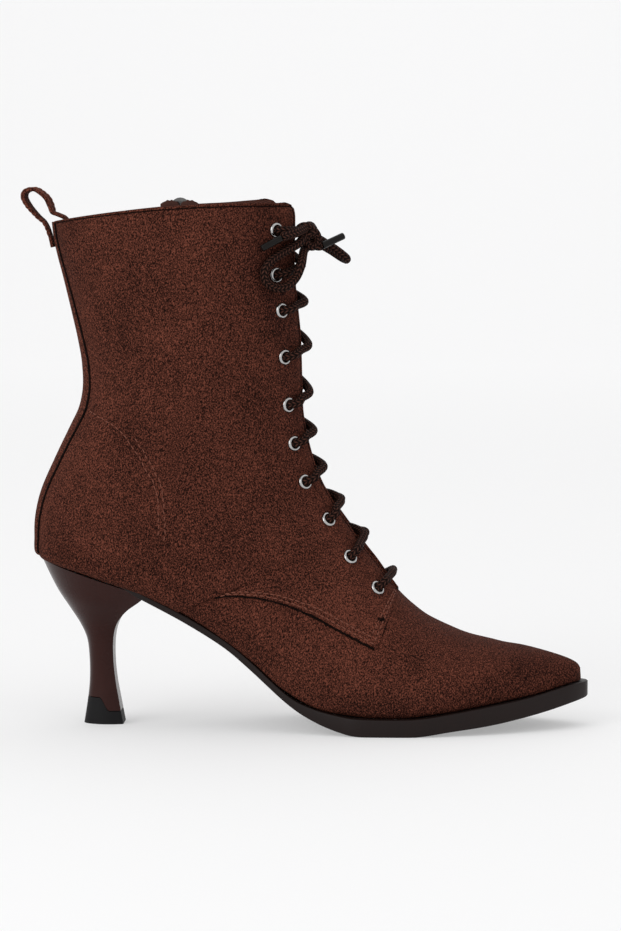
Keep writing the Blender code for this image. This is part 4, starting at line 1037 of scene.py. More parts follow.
def corner_way(row):
    """How far the rounded front corner of the collar sets the throat edge back."""
    up = 1 - (TOP_ROW - row) * COLLAR_PITCH / CORNER_HIGH
    return CORNER_WIDE * (1 - math.sqrt(max(1 - max(up, 0.0) ** 2, 0.0)))


wall_rows = np.concatenate(
    [np.linspace(0, TOP_ROW - 0.5, 214), np.linspace(TOP_ROW - 0.46, TOP_ROW - 0.05, 10)]
)
halves = []
for side in (LATERAL, MEDIAL):
    grid = []
    for row in wall_rows:
        inset = WALL_INSET + corner_way(row) if row >= FLAP_ROW else 0.0
        ways = np.linspace(inset, skin_length(row, side), WALL_COLUMNS)
        grid.append(laid(row, side, ways, 0.0))
    halves.append(grid_piece(f"wall_{side}", np.array(grid), closed=False, flip=side == MEDIAL))
wall = join_pieces(halves, "upper_wall", HALVES_WELD)
edit()
bpy.ops.mesh.normals_make_consistent(inside=False)
leave_edit()
wall.data.materials.clear()
wall.data.materials.append(suede)
wall.data.materials.append(lining)
apply_modifier(
    wall, "SOLIDIFY", thickness=WALL * MM, offset=-1.0, use_even_offset=True, material_offset=1
)
print("wall faces", len(wall.data.polygons))

# %% Quarters over the wall
FREE_EDGE = table(
    "inward out",
    (0.7, -1.55), (0.18, -1.4), (0.0, -0.8), (0.0, 0.1), (0.16, 0.6), (0.5, 0.88),
    (0.9, 0.98), (1.3, 0.9), (1.6, 0.62), (1.85, 0.45), (2.1, 0.62), (2.5, 0.86),
)
LAPPED_EDGE = table("inward out", (0.0, -0.3), (0.0, 0.3), (0.12, 0.64), (0.5, 0.86))
PLAIN_EDGE = table("inward out", (0.0, -0.3), (0.0, 0.7), (0.3, 0.88))
ROLL_END = 3.0
QUARTER_THICK = 0.4
FLAP_PITCH = 7.0
ROW_PITCH = 10.0
BACK_FOOT_ROW = 13.55
ZIP_X = 62.0
ZIP_HALF = 3.5
ZIP_FOOT_ROW = 14.75
ZIP_CLOSED = 0.15
ZIP_OPENS_OVER = 0.7
QUARTER_EDGE = table(
    "x z",
    (153.4, 40.1), (150.6, 38.7), (135.5, 46.3), (120.8, 54.0), (104.8, 59.3), (90.2, 60.8),
    (81.7, 59.6), (75.0, 56.6), (66.9, 51.5), (58.0, 43.0),
)
edge_line = smooth_line(QUARTER_EDGE, 200)


def seam_way(row, side):
    """Way from the throat edge at which the quarter's lower edge crosses a section."""
    points, ways = half_ways(row, side)
    floor_z = np.interp(points[:, 0], edge_line[::-1, 0], edge_line[::-1, 1])
    inside = (points[:, 2] > floor_z) | (points[:, 0] < edge_line[-1, 0])
    below = np.nonzero(~inside & (ways > 5.0))[0]
    return float(ways[below[0]]) if len(below) else float(ways[-1])


def way_at_x(row, side, x):
    points, ways = half_ways(row, side)
    return float(np.interp(-x, -points[:, 0], ways))


def zip_half(row):
    """Half the zip's slit: nothing below its foot, then opening over a few millimetres."""
    share = min(max((row - ZIP_FOOT_ROW) / ZIP_OPENS_OVER, 0.0), 1.0)
    return ZIP_CLOSED + (ZIP_HALF - ZIP_CLOSED) * share * share * (3 - 2 * share)


def rolled(low, high, count, low_roll, high_roll, low_scale, high_scale):
    """Places from one edge to another, with a roll at each, and how far out they lie."""
    ways = [low + r.inward * low_scale for r in low_roll]
    ways += list(np.linspace(low + ROLL_END * low_scale, high - ROLL_END * high_scale, count))
    ways += [high - r.inward * high_scale for r in reversed(high_roll)]
    outs = [r.out for r in low_roll] + [QUARTER_STEP] * count + [r.out for r in reversed(high_roll)]
    return np.array(ways), np.array(outs)


def quarter_piece(name, side, rows, row_outs, begin, end, begin_roll, end_roll, columns):
    grid = []
    for row, row_out in zip(rows, row_outs):
        low, high = begin(row), end(row)
        squeeze = min(1.0, max(high - low, 0.2) / (4 * ROLL_END))
        ways, outs = rolled(low, high, columns, begin_roll, end_roll, squeeze, squeeze)
        outs = np.maximum(outs - (QUARTER_STEP - row_out), FREE_EDGE[0].out)
        grid.append(laid(row, side, ways, outs))
    piece = grid_piece(name, np.array(grid), closed=False, flip=side == LATERAL)
    piece.data.materials.append(suede)
    return piece


front_rows = rolled(FLAP_ROW, TOP_ROW, 190, LAPPED_EDGE, FREE_EDGE, 1 / FLAP_PITCH, 1 / ROW_PITCH)
back_rows = rolled(BACK_FOOT_ROW, TOP_ROW, 140, PLAIN_EDGE, FREE_EDGE, 1 / ROW_PITCH, 1 / ROW_PITCH)
quarter_lateral = quarter_piece(
    "quarter_lateral", LATERAL, *front_rows,
    corner_way, lambda r: seam_way(r, LATERAL), FREE_EDGE, LAPPED_EDGE, 56,
)


def zip_front_way(row):
    return min(seam_way(row, MEDIAL), way_at_x(row, MEDIAL, ZIP_X + zip_half(row)))


def zip_back_way(row):
    return way_at_x(row, MEDIAL, ZIP_X - zip_half(row))


quarter_front = quarter_piece(
    "quarter_medial_front", MEDIAL, *front_rows, corner_way, zip_front_way, FREE_EDGE, LAPPED_EDGE, 40
)
quarter_back = quarter_piece(
    "quarter_medial_back", MEDIAL, *back_rows,
    zip_back_way, lambda r: skin_length(r, MEDIAL), LAPPED_EDGE, PLAIN_EDGE, 34,
)
quarters = [quarter_lateral, quarter_front, quarter_back]
print("quarters", [len(q.data.polygons) for q in quarters])

# %% Eyelet holes and the slit for the zip
HOLE_RADIUS = 2.6
PUNCH_DEEP = 12.0
SLIT_MIDDLE = (ZIP_X, 32.0, 162.0)
SLIT_SIZE = (2 * ZIP_HALF, 50.0, 176.0)


def eyelet_place(eyelet, side):
    here, normal = skin(eyelet.row, side, eyelet.from_edge, QUARTER_STEP)
    frame_at = Vector(normal[0]).to_track_quat("Z", "Y").to_matrix().to_4x4()
    frame_at.translation = Vector(to_frame(here + normal * press(here)[:, None])[0])
    return frame_at


punches = []
for eyelet in EYELETS:
    for side in (LATERAL, MEDIAL):
        deselect()
        bpy.ops.mesh.primitive_cylinder_add(vertices=24, radius=HOLE_RADIUS * MM, depth=PUNCH_DEEP * MM)
        punch = bpy.context.object
        punch.data.transform(eyelet_place(eyelet, side))
        punches.append(punch)
punch = join_pieces(punches, "eyelet_punch")
slit = block(SLIT_SIZE, to_frame(SLIT_MIDDLE))
cut(wall, slit)
cut(wall, punch)
for quarter in quarters:
    thicken(quarter, QUARTER_THICK)
for quarter in quarters[:2]:
    cut(quarter, punch)
for cutter in (slit, punch):
    bpy.data.objects.remove(cutter, do_unlink=True)
wear(wall, None, "suede", "upper")
for quarter in quarters:
    wear(quarter, suede, "suede", "upper")
for piece in [wall] + quarters:
    pick(piece)
    smooth_below(50)
    stroke_nap_and_shade(piece)
print("upper faces", [len(p.data.polygons) for p in [wall] + quarters])

# %% [markdown]
# ## Back strip and pull loop
# A strip covers the back seam, its edges sewn down so that it stands up between them. The pull
# loop is a folded band whose tails go outside and inside the collar. Both are sweeps: a small
# rounded section along a line.

# %% Back strip
STRIP_FOOT_ROW = 17.0
STRIP_FOOT_RISE = 0.3
STRIP_TOP_ROW = 30.93
STRIP_THICK = 0.3
STRIP_WIDTHS = table(
    "row half",
    (17.0, 7.0), (19.0, 8.6), (21.0, 10.2), (22.5, 11.4), (24.0, 11.0), (26.0, 9.4), (28.5, 7.8),
    (31.0, 7.0),
)


def strip_half(row):
    """Half the back strip's width along the skin: widest at the ankle."""
    return float(np.interp(row, [w.row for w in STRIP_WIDTHS], [w.half for w in STRIP_WIDTHS]))


strip_shape = [(-1.0, 0.1), (-1.0, 0.6), (-0.97, 1.0), (-0.88, 1.3)]
strip_shape += [(s, 1.42 + 0.28 * (1 - s * s)) for s in np.linspace(-0.72, 0.72, 11)]
strip_shape += [(-s, out) for s, out in reversed(strip_shape[:4])]
foot_rows = STRIP_FOOT_ROW + STRIP_FOOT_RISE * np.linspace(0.02, 1, 8) ** 2
grid = []
for row in np.concatenate([foot_rows, np.linspace(17.4, STRIP_TOP_ROW, 144)]):
    foot = math.sqrt(1 - (1 - min((row - STRIP_FOOT_ROW) / STRIP_FOOT_RISE, 1.0)) ** 2)
    line = []
    for share_out, out in strip_shape:
        side = LATERAL if share_out <= 0 else MEDIAL
        total = skin_length(row, side)
        way = total - abs(share_out) * strip_half(row)
        here, normal = skin(row, side, min(way, total - 0.6))
        at = skin_line(row, side, np.array([way]))[0]
        if abs(share_out) < 0.01:
            normal = normal * np.array([1.0, 0.0, 1.0])
        line.append(at + normal[0] * (out * foot + press(here)[0]))
    grid.append(line)
back_strip = grid_piece("back_seam_strip", np.array(grid), closed=False)
thicken(back_strip, STRIP_THICK)
wear(back_strip, suede_strip, "suede", "back_strip")
print("back strip faces", len(back_strip.data.polygons))

# %% Pull loop
PULL_LOOP = table(
    "x z",
    (8.5, 211.0), (7.0, 217.4), (5.0, 221.8), (2.1, 224.5), (-1.8, 228.9), (-3.8, 232.4), (-3.7, 234.7),
    (-2.2, 236.0), (0.3, 236.4), (2.7, 235.4), (5.9, 232.6), (7.6, 229.1), (8.6, 226.3), (10.9, 225.3),
    (14.3, 223.4), (16.1, 218.4), (16.4, 212.0),
)
BAND_HALF = 4.0
BAND_THICK = 1.5
BAND_SOFT = 0.55
BAND_TURN = math.radians(9)
TURN_FROM_Z = 222.0
TURN_OVER = 8.0
route = smooth_line(PULL_LOOP, 120)
route_out = square_to(route)


def band_point(k, across, depth):
    """A place on the band: at a point of its route, so far across and so far out."""
    turn = BAND_TURN * min(max((route[k][1] - TURN_FROM_Z) / TURN_OVER, 0.0), 1.0)
    x, z = route[k] + route_out[k] * depth
    return x + across * math.sin(turn), across * math.cos(turn), z


band_shape = rounded_box(-BAND_HALF, BAND_HALF, -BAND_THICK / 2, BAND_THICK / 2, BAND_SOFT, 4)
grid = capped([[band_point(k, *shape) for shape in band_shape] for k in range(len(route))])
pull_band = wear(grid_piece("pull_band", grid), suede_strip, "suede", "pull_loop")
print("pull band faces", len(pull_band.data.polygons))

# %% [markdown]
# ## Sole, heel and top piece
# The sole is a loft with softened edges. The heel's sections turn from the slanted seat to the
# level foot, and its lower end follows the wave where the black top piece begins, so each point
# knows the height at which its own upright line meets the wave.

# %% Outsole
FLAT_FROM = 146.0
FLAT_TO = 168.0
SOLE_SOFT = 0.7
SOLE = table(
    "x top bottom lat med",
    (244.8, 19.8, 13.5, 0.4, 0.4),
    (243.4, 19.9, 12.9, 5.2, 4.9),
    (238.0, 19.4, 11.6, 11.6, 10.6),
    (228.0, 17.3, 9.1, 19.0, 16.8),
    (215.4, 14.6, 6.5, 26.8, 23.8),
    (201.0, 12.4, 4.0, 33.4, 30.8),
    (184.0, 9.8, 2.0, 39.2, 38.0),
    (168.0, 7.8, 0.0, 42.0, 41.4),
    (146.0, 7.8, 0.0, 42.0, 37.6),
    (136.0, 8.8, 1.6, 39.4, 34.0),
    (124.3, 11.6, 6.1, 36.2, 30.4),
    (113.0, 17.2, 13.2, 33.6, 28.2),
    (96.0, 32.2, 28.2, 30.2, 26.6),
    (84.6, 41.0, 37.5, 28.8, 26.6),
    (68.0, 51.1, 47.8, 28.3, 27.1),
    (51.0, 59.6, 56.8, 27.6, 27.0),
    (47.0, 61.5, 58.9, 27.2, 26.6),
    (41.0, 63.8, 62.6, 26.4, 25.8),
)


def sole_ring(x, left, right, low, high, radius):
    """A flat section of the sole or the insole, seen along the boot."""
    radius = min(radius, (high - low) * 0.3, (right - left) * 0.3)
    return [(x, y, z) for y, z in rounded_box(left, right, low, high, radius, 5)]


rings = []
for t in np.concatenate([np.linspace(0, 1, 10)[:-1], np.linspace(1, len(SOLE) - 1, 130)]):
    s = row_between(SOLE, t)
    low = 0.0 if FLAT_FROM <= s.x <= FLAT_TO else max(s.bottom, 0.0)
    rings.append(sole_ring(s.x, -s.lat, s.med, low, s.top, SOLE_SOFT))
outsole = wear(grid_piece("sole_unit", capped(rings)), sole_rubber, "sole_rubber", "outsole")
smooth_below(35)
print("sole faces", len(outsole.data.polygons))

# %% Heel and top piece
HEEL = table(
    "back_x back_z breast_x breast_z half rise",
    (3.1, 73.9, 50.6, 58.6, 25.4, 0.5),
    (6.7, 66.0, 47.2, 55.6, 22.0, 0.2),
    (10.4, 59.0, 42.0, 51.7, 18.4, 0.0),
    (15.4, 51.4, 38.5, 47.8, 14.2, 0.0),
    (19.8, 44.5, 36.1, 43.4, 10.6, 0.0),
    (22.8, 37.4, 34.9, 37.2, 8.2, 0.0),
    (23.8, 28.0, 34.9, 28.0, 6.9, 0.0),
    (23.8, 19.0, 35.8, 19.0, 6.6, 0.0),
    (23.0, 11.0, 37.2, 11.0, 7.0, 0.0),
    (21.3, 0.0, 39.2, 0.0, 7.8, 0.0),
)
LEVEL_ROW = 6
TIP_HIGH = 11.6
TIP_LOW = 6.0
TIP_WAVE_FROM = 28.5
TIP_WAVE_TO = 33.0
TIP_ROW = 8.3
HEEL_POINTS = 30
HEEL_WIDEST = 0.6
BREAST_NARROWS = 0.16
TIP_GAP = 0.3


def heel_ring(row):
    side = []
    for k in range(HEEL_POINTS):
        u = 0.5 - 0.5 * math.cos(math.pi * k / (HEEL_POINTS - 1))
        if u < HEEL_WIDEST:
            width = math.sqrt(max(1 - (1 - u / HEEL_WIDEST) ** 2, 0.0))
        else:
            width = 1 - BREAST_NARROWS * ((u - HEEL_WIDEST) / (1 - HEEL_WIDEST)) ** 2
        x = row.back_x + (row.breast_x - row.back_x) * u
        z = row.back_z + (row.breast_z - row.back_z) * u + 4 * row.rise * u * (1 - u)
        side.append((x, row.half * width, z))
    other = [(x, -y, z) for x, y, z in reversed(side[1:])]
    return np.array(side + other + [side[0]])


def wave_height(x):
    t = np.clip((x - TIP_WAVE_FROM) / (TIP_WAVE_TO - TIP_WAVE_FROM), 0.0, 1.0)
    return TIP_HIGH + (TIP_LOW - TIP_HIGH) * (0.5 - 0.5 * np.cos(math.pi * t))


def row_at_height(z):
    return np.interp(-z, [-h.back_z for h in HEEL[LEVEL_ROW:]], range(LEVEL_ROW, len(HEEL)))


def ring_at_heights(heights):
    """A level part of the heel whose points each have their own height."""
    made = []
    for c, z in enumerate(heights):
        made.append(heel_ring(row_between(HEEL, float(row_at_height(z))))[c])
    return np.array(made)


wave = wave_height(heel_ring(row_between(HEEL, TIP_ROW))[:, 0])
level = HEEL[LEVEL_ROW].back_z
rings = [heel_ring(row_between(HEEL, t)) for t in np.linspace(0, LEVEL_ROW, 50)[:-1]]
rings += [ring_at_heights(level + (wave + TIP_GAP - level) * f) for f in np.linspace(0, 1, 24)]
heel = wear(grid_piece("heel_block", capped(rings)), heel_lacquer, "heel_lacquer", "heel")
smooth_below(40)
rings = [ring_at_heights(wave * (1 - f)) for f in np.linspace(0, 0.96, 10)]
rings.append(ring_at_heights(wave * 0.0) * np.array([1.0, 1.0, 0.0]))
top_piece = wear(grid_piece("heel_top_piece", capped(rings)), black_rubber, "black_rubber", "heel_tip")
smooth_below(40)
print("heel faces", len(heel.data.polygons), "top piece", len(top_piece.data.polygons))

# %% [markdown]
# ## Eyelets
# An eyelet is a small brass tube, plated and pressed outwards into a crown. It is a profile
# turned about an axis; one is made, and each copy is set on its hole.

# %% Eyelets
PROFILE = table(
    "radius height",
    (2.05, -2.0), (2.05, 0.35), (2.13, 0.62), (2.36, 0.84), (2.74, 0.88), (3.08, 0.70),
    (3.32, 0.36), (3.36, 0.06), (2.45, 0.0), (2.4, -2.0), (2.05, -2.0),
)
angles = np.linspace(0, 2 * math.pi, 33)
ring = np.array([[(r * math.cos(a), r * math.sin(a), z) for r, z in PROFILE] for a in angles])
pattern = grid_piece("eyelet_pattern", ring + LAST_ORIGIN)
smooth_below(60)
for number, eyelet in enumerate(EYELETS, 1):
    for side, word in ((LATERAL, "lateral"), (MEDIAL, "medial")):
        pick(pattern)
        bpy.ops.object.duplicate(linked=False)
        ring = bpy.context.object
        ring.name = f"eyelet_ring_{word}_{number:02d}"
        ring.data.transform(eyelet_place(eyelet, side))
        wear(ring, nickel, "eyelet_nickel", f"eyelet_{word}_{number:02d}")
bpy.data.objects.remove(pattern, do_unlink=True)
print("eyelets", 2 * len(EYELETS))

# %% [markdown]
# ## Tongue and insole
# The tongue lies behind the lacing, tucked under the vamp at its foot. The insole covers the open
# underside. Both show little, but they close the boot when it is seen from above.

# %% Tongue
TONGUE_HALF = 21.0
TONGUE_LOW_ROW = 8.0
TONGUE_TOP_ROW = 30.6
TONGUE_DEPTH = 5.0
TONGUE_GAP = 0.7
DIP_ROW = 7.6
DIP_ROWS = 3.0
grids = []
for row in np.linspace(TONGUE_LOW_ROW, TONGUE_TOP_ROW, 90):
    s = section_at(row)
    run = np.array([s.base_x - s.front_x, 0.0, s.base_z - s.front_z])
    run /= np.linalg.norm(run)
    depth = WALL + TONGUE_GAP + min(max((row - DIP_ROW) / DIP_ROWS, 0.0), 1.0) * TONGUE_DEPTH
    line = []
    for share_out in np.linspace(-1, 1, 25):
        side = LATERAL if share_out <= 0 else MEDIAL
        points = half_section(row, side)
        at = at_lengths(points, arc_lengths(points), abs(share_out) * TONGUE_HALF)
        line.append(at * np.array([1.0, 1.0 - 0.1 * abs(share_out), 1.0]) + run * depth)
    grids.append(line)
tongue = grid_piece("tongue_sheet", np.array(grids), closed=False)
thicken(tongue, WALL)
soften(tongue, 0.5, 2, 50)
smooth_below(50)
wear(tongue, suede, "suede", "tongue")
print("tongue faces", len(tongue.data.polygons))

# %% Insole
INSOLE_TOE = 232.0
INSOLE_HEEL = 14.0
INSOLE_SEAT = 30.0
INSOLE_INSET = 2.4
feather_rows = [section_at(r) for r in np.linspace(0, CORNER_ROW, 240)]
feather_x = [-s.base_x for s in feather_rows]
rings = []
for x in np.linspace(INSOLE_TOE, INSOLE_HEEL, 90):
    z, lat, med = (
        float(np.interp(-x, feather_x, [getattr(s, key) for s in feather_rows]))
        for key in ("base_z", "lat_base", "med_base")
    )
    inset = INSOLE_INSET * (1 + max(INSOLE_SEAT - x, 0.0) / (INSOLE_SEAT - INSOLE_HEEL))
    rings.append(sole_ring(x, -(lat - inset), med - inset, z + 0.3, z + 2.3, 0.6))
insole = wear(grid_piece("insole_cover", capped(rings)), lining, "lining_cloth", "insole")
smooth_below(35)
print("insole faces", len(insole.data.polygons))

# %% [markdown]
# ## Thread and seams
# A machine stitch is a short thread that dives into the leather at both ends. One stitch is
# shaped from a small ball, drawn long and flat. Its points are then copied along every seam by
# array sums, because a thousand separate objects would be slow, and each seam becomes one joined
# mesh. A thin near-black cord is painted shade: it darkens the shadowed cut edge where one piece laps
# over another.

# %% A small pattern and its copies
def pattern_of(piece):
    """Points in millimetres and faces of a small piece, which is removed."""
    points = np.array([v.co for v in piece.data.vertices]) / MM
    faces = [tuple(f.vertices) for f in piece.data.polygons]
    bpy.data.objects.remove(piece, do_unlink=True)
    return points, faces


def copies(name, pattern, places, along, up):
    """One mesh of many copies: each at a place, its X along, its Z up from the skin."""
    points, faces = pattern
    along = along - up * np.sum(along * up, axis=1, keepdims=True)
    along /= np.linalg.norm(along, axis=1, keepdims=True)
    axes = np.stack([along, np.cross(up, along), up], axis=1)
    laid_out = places[:, None] + np.einsum("pk,nkc->npc", points, axes)
    made = bpy.data.meshes.new(name)
    every = [tuple(v + k * len(points) for v in face) for k in range(len(places)) for face in faces]
    made.from_pydata(to_frame(laid_out.reshape(-1, 3)).tolist(), [], every)
    piece = bpy.data.objects.new(name, made)
    bpy.context.collection.objects.link(piece)
    pick(piece)
    bpy.ops.object.shade_smooth()
    return piece


STITCH_PITCH = 2.9
FINE_PITCH = 1.9
STITCH_HALF = (1.12, 0.30, 0.34)
deselect()
bpy.ops.mesh.primitive_uv_sphere_add(
    segments=8, ring_count=6, radius=MM, rotation=(0.0, math.pi / 2, 0.0)
)
bpy.ops.object.transform_apply(location=False, rotation=True, scale=False)
bpy.context.object.scale = STITCH_HALF
bpy.ops.object.transform_apply(location=False, rotation=False, scale=True)
one_stitch = pattern_of(bpy.context.object)
print("one stitch faces", len(one_stitch[1]))


# %% Sewing along a run
def seam_run(places, out):
    """Points and normals of a run of (row, side, way) places on the creased skin."""
    points, normals = [], []
    for row, side, way in places:
        here, normal = skin(row, side, way)
        points.append(here[0] + normal[0] * (out + press(here)[0]))
        normals.append(normal[0])
    return np.array(points), np.array(normals)


def sew(name, runs, finish, slot, pitch=STITCH_PITCH):
    places, along, up = [], [], []
    for points, normals in runs:
        lengths = arc_lengths(points)
        count = max(int(round(lengths[-1] / pitch)), 1)
        at = (np.arange(count) + 0.5) * lengths[-1] / count
        places.append(at_lengths(points, lengths, at))
        along.append(at_lengths(points, lengths, at + 0.6) - at_lengths(points, lengths, at - 0.6))
        facing = at_lengths(normals, lengths, at)
        up.append(facing / np.linalg.norm(facing, axis=1, keepdims=True))
    piece = copies(name, one_stitch, *(np.concatenate(v) for v in (places, along, up)))
    print(name, sum(len(p) for p in places), "stitches")
    return wear(piece, finish, slot)


side_rows = np.linspace(FLAP_ROW, TOP_ROW, 461)
side_views = {side: np.array([half_section(r, side) for r in side_rows]) for side in (LATERAL, MEDIAL)}


def side_place(x, z, side):
    """Row and way of the place on the skin that lies at x and z in the side view."""
    views = side_views[side]
    off = (views[:, :, 0] - x) ** 2 + (views[:, :, 2] - z) ** 2
    row, k = np.unravel_index(np.argmin(off), off.shape)
    return side_rows[row], side, half_ways(side_rows[row], side)[1][k]


# %% Stitches along the facings and the collar
FACING_STITCH = 1.85
SUNK = 0.36
collar_row = TOP_ROW - FACING_STITCH / ROW_PITCH


def facing_line(side):
    rows = np.linspace(FLAP_ROW + 0.3, collar_row, 140)
    return [(row, side, corner_way(row) + FACING_STITCH) for row in rows]


def collar_ways(side, low, high):
    return [(collar_row, side, way) for way in np.linspace(low, high, 60)]


lateral_end = skin_length(TOP_ROW, LATERAL) - strip_half(TOP_ROW) - 0.5
medial_end = skin_length(TOP_ROW, MEDIAL) - strip_half(TOP_ROW) - 0.5
zip_front = way_at_x(TOP_ROW, MEDIAL, ZIP_X + ZIP_HALF + 1.8)
zip_back = way_at_x(TOP_ROW, MEDIAL, ZIP_X - ZIP_HALF - 1.8)
collar_front = corner_way(collar_row) + FACING_STITCH + 0.6
over = QUARTER_STEP
# The collar and facing stitches are near-black: painted shade in their sunk groove.
sew(
    "stitches_facing",
    [
        seam_run(facing_line(LATERAL) + collar_ways(LATERAL, collar_front, lateral_end), over - SUNK),
        seam_run(facing_line(MEDIAL) + collar_ways(MEDIAL, collar_front, zip_front), over - SUNK),
        seam_run(collar_ways(MEDIAL, zip_back, medial_end), over - SUNK),
    ],
    dark_seam_and_painted_shade,
    "lace_braid",
    FINE_PITCH,
)

# %% Stitches round the quarters, the counter and the zip
COUNTER_ROWS = [
    table(
        "x z",
        (26.1, 139.3), (36.9, 134.1), (43.4, 128.0), (49.5, 119.3), (56.3, 106.3), (57.3, 94.5),
        (57.2, 86.2),
    ),
    table(
        "x z",
        (46.5, 128.9), (50.8, 122.8), (56.0, 113.3), (58.8, 106.7), (59.9, 93.2), (59.8, 84.0),
    ),
]
ZIP_STITCH = 1.9
ZIP_STITCH_ROW = 15.6
QUARTER_STITCHES = table("inward begin", (1.7, 0.12), (3.9, 0.45))
EDGE_END_ROW = 13.5


def quarter_rows(side):
    """Rows of the quarter's lower edge, as far back as it shows above the sole."""
    rows = np.linspace(FLAP_ROW + 0.12, EDGE_END_ROW, 110)
    return [row for row in rows if seam_way(row, side) < skin_length(row, side) - 0.8]


runs = []
for side in (LATERAL, MEDIAL):
    for inward, begin in QUARTER_STITCHES:
        rows = [row for row in quarter_rows(side) if row > FLAP_ROW + begin]
        runs.append(seam_run([(row, side, seam_way(row, side) - inward) for row in rows], over))
        ways = np.linspace(3.5, seam_way(FLAP_ROW + begin, side) - inward - 1.0, 30)
        runs.append(seam_run([(FLAP_ROW + begin + 0.12, side, way) for way in ways], over))
sew("stitches_quarter", runs, thread, "lace_braid")
runs = [seam_run([side_place(*p, LATERAL) for p in smooth_line(line, 40)], over) for line in COUNTER_ROWS]
sew("stitches_counter", runs, thread, "lace_braid")
runs = []
for sign in (-1, 1):
    places = [
        (row, MEDIAL, way_at_x(row, MEDIAL, ZIP_X + sign * (zip_half(row) + ZIP_STITCH)))
        for row in np.linspace(ZIP_STITCH_ROW, TOP_ROW - 0.25, 90)
    ]
    runs.append(seam_run(places, over))
sew("stitches_zip", runs, thread, "lace_braid")

# %% Stitches of the pull loop and the bar tack
BAND_STITCH = 2.9
seen = range(6, len(route) - 30)
facing = np.array([(route_out[k][0], 0.0, route_out[k][1]) for k in seen])
runs = [
    (np.array([band_point(k, across, BAND_THICK / 2) for k in seen]), facing)
    for across in (-BAND_STITCH, BAND_STITCH)
]
sew("stitches_pull_band", runs, thread, "lace_braid", 2.2)
TACK_X, TACK_Z, TACK_HIGH = 152.6, 48.4, 2.2
runs = []
for side in (LATERAL, MEDIAL):
    for step in np.arange(6) * 0.5:
        low, high = (side_place(TACK_X + step, TACK_Z + way, side) for way in (0.0, TACK_HIGH))
        runs.append(seam_run([low, high], over + 0.1))
sew("bar_tacks", runs, dark_seam_and_painted_shade, "suede", 2.6)

# %% Painted shade along the cut edges
LOWER_CORD = 0.55
FRONT_CORD = 0.45
STRIP_CORD = 0.8


def shade_cord(points, radius):
    return tube_piece("shade_cord", np.array(points), radius, 6)


# Each near-black cord is painted shade in the corner where one piece laps over another.
shade_cords = []
for side in (LATERAL, MEDIAL):
    rows = quarter_rows(side)
    lower = [laid(row, side, seam_way(row, side) + 0.3, 0.3)[0] for row in rows]
    ways = np.linspace(1.0, seam_way(FLAP_ROW + 0.1, side), 40)
    front = [laid(FLAP_ROW - 0.02, side, way, 0.22)[0] for way in ways]
    shade_cords.append(shade_cord(lower, LOWER_CORD))
    shade_cords.append(shade_cord(front, FRONT_CORD))
    rows = np.linspace(17.15, 30.8, 120)
    ways = [skin_length(row, side) - strip_half(row) - 0.55 for row in rows]
    strip_edge = [laid(row, side, way, QUARTER_STEP - 0.1)[0] for row, way in zip(rows, ways)]
    shade_cords.append(shade_cord(strip_edge, STRIP_CORD))
edges = wear(join_pieces(shade_cords, "painted_shade_edges"), dark_seam_and_painted_shade, "suede")
print("cut edges faces", len(edges.data.polygons))

# %% [markdown]
# ## The zip
# The inner side opens with a metal zip, whose head shows over the collar. Two woven tapes carry
# the teeth. One tooth is a bevelled block, copied up both tapes in turn. The slider is a block
# drawn in towards its foot, with a band bridged over its face, and the pull tab hangs from that
# band by a slot, so it rides on its own hinge.

# %% Zip tapes
ZIP_LOW_Z = 66.0
ZIP_TOP_Z = 231.4
TAPE_OUT = -2.6
TAPE_FROM = 0.4
TAPE_TO = 9.0
TAPE_MIDDLE = 4.5
TAPE_THICK = 0.7
TOP_ROUND = 0.09
TOP_RAGGED = 0.25
RAGGED_TURN = 2.6
TAPE_CORD = 0.25
CORD_AT = 1.2


def zip_spot(x, z, out):
    """Point and normal on the zip's own sheet, which goes on straight above the collar."""
    here, normal = skin(*side_place(x, z, MEDIAL))
    point = here[0] + np.array([x - here[0][0], 0.0, z - here[0][2]]) + normal[0] * out
    return point, normal[0]


tapes = []
for sign in (-1, 1):
    grid = []
    for share_up in np.linspace(0, 1, 70):
        line = []
        for off in np.linspace(TAPE_FROM, TAPE_TO, 9):
            top = ZIP_TOP_Z - TOP_ROUND * (off - TAPE_MIDDLE) ** 2
            top -= TOP_RAGGED * math.cos(off * RAGGED_TURN)
            z = ZIP_LOW_Z + (top - ZIP_LOW_Z) * share_up
            cord_out = TAPE_CORD * math.exp(-((off - CORD_AT) ** 2))
            line.append(zip_spot(ZIP_X + sign * off, z, TAPE_OUT + cord_out)[0])
        grid.append(line)
    tapes.append(grid_piece("zip_tape_half", np.array(grid), closed=False, flip=sign > 0))
    thicken(tapes[-1], TAPE_THICK)
tape = wear(join_pieces(tapes, "zip_tape_cloth"), tape_cloth, "lining_cloth", "zip_tape")
print("zip tape faces", len(tape.data.polygons))

# %% Zip teeth
TOOTH_PITCH = 1.5
TOOTH_SIZE = (2.7, 0.95, 1.5)
TOOTH_OFF = 0.85
TOOTH_OUT = TAPE_OUT + 1.15
TEETH_LOW_Z = 73.4
tooth = block(TOOTH_SIZE)
soften(tooth, 0.2, 1)
one_tooth = pattern_of(tooth)
hinge = next(j for j in frame["joints"] if j["name"] == "pull_tab_hinge")
slider_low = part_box("zip_slider")[0][2] / MM
places, along, up = [], [], []
for sign in (-1, 1):
    for z in np.arange(TEETH_LOW_Z + TOOTH_PITCH / 4 * (1 + sign), slider_low - 0.6, TOOTH_PITCH):
        at, normal = zip_spot(ZIP_X + sign * TOOTH_OFF, z, TOOTH_OUT)
        nearby = zip_spot(ZIP_X + sign * TOOTH_OFF + 1.5, z, TOOTH_OUT)[0]
        places.append(at)
        along.append(nearby - at)
        up.append(normal)
teeth = copies("zip_teeth_rows", one_tooth, np.array(places), np.array(along), np.array(up))
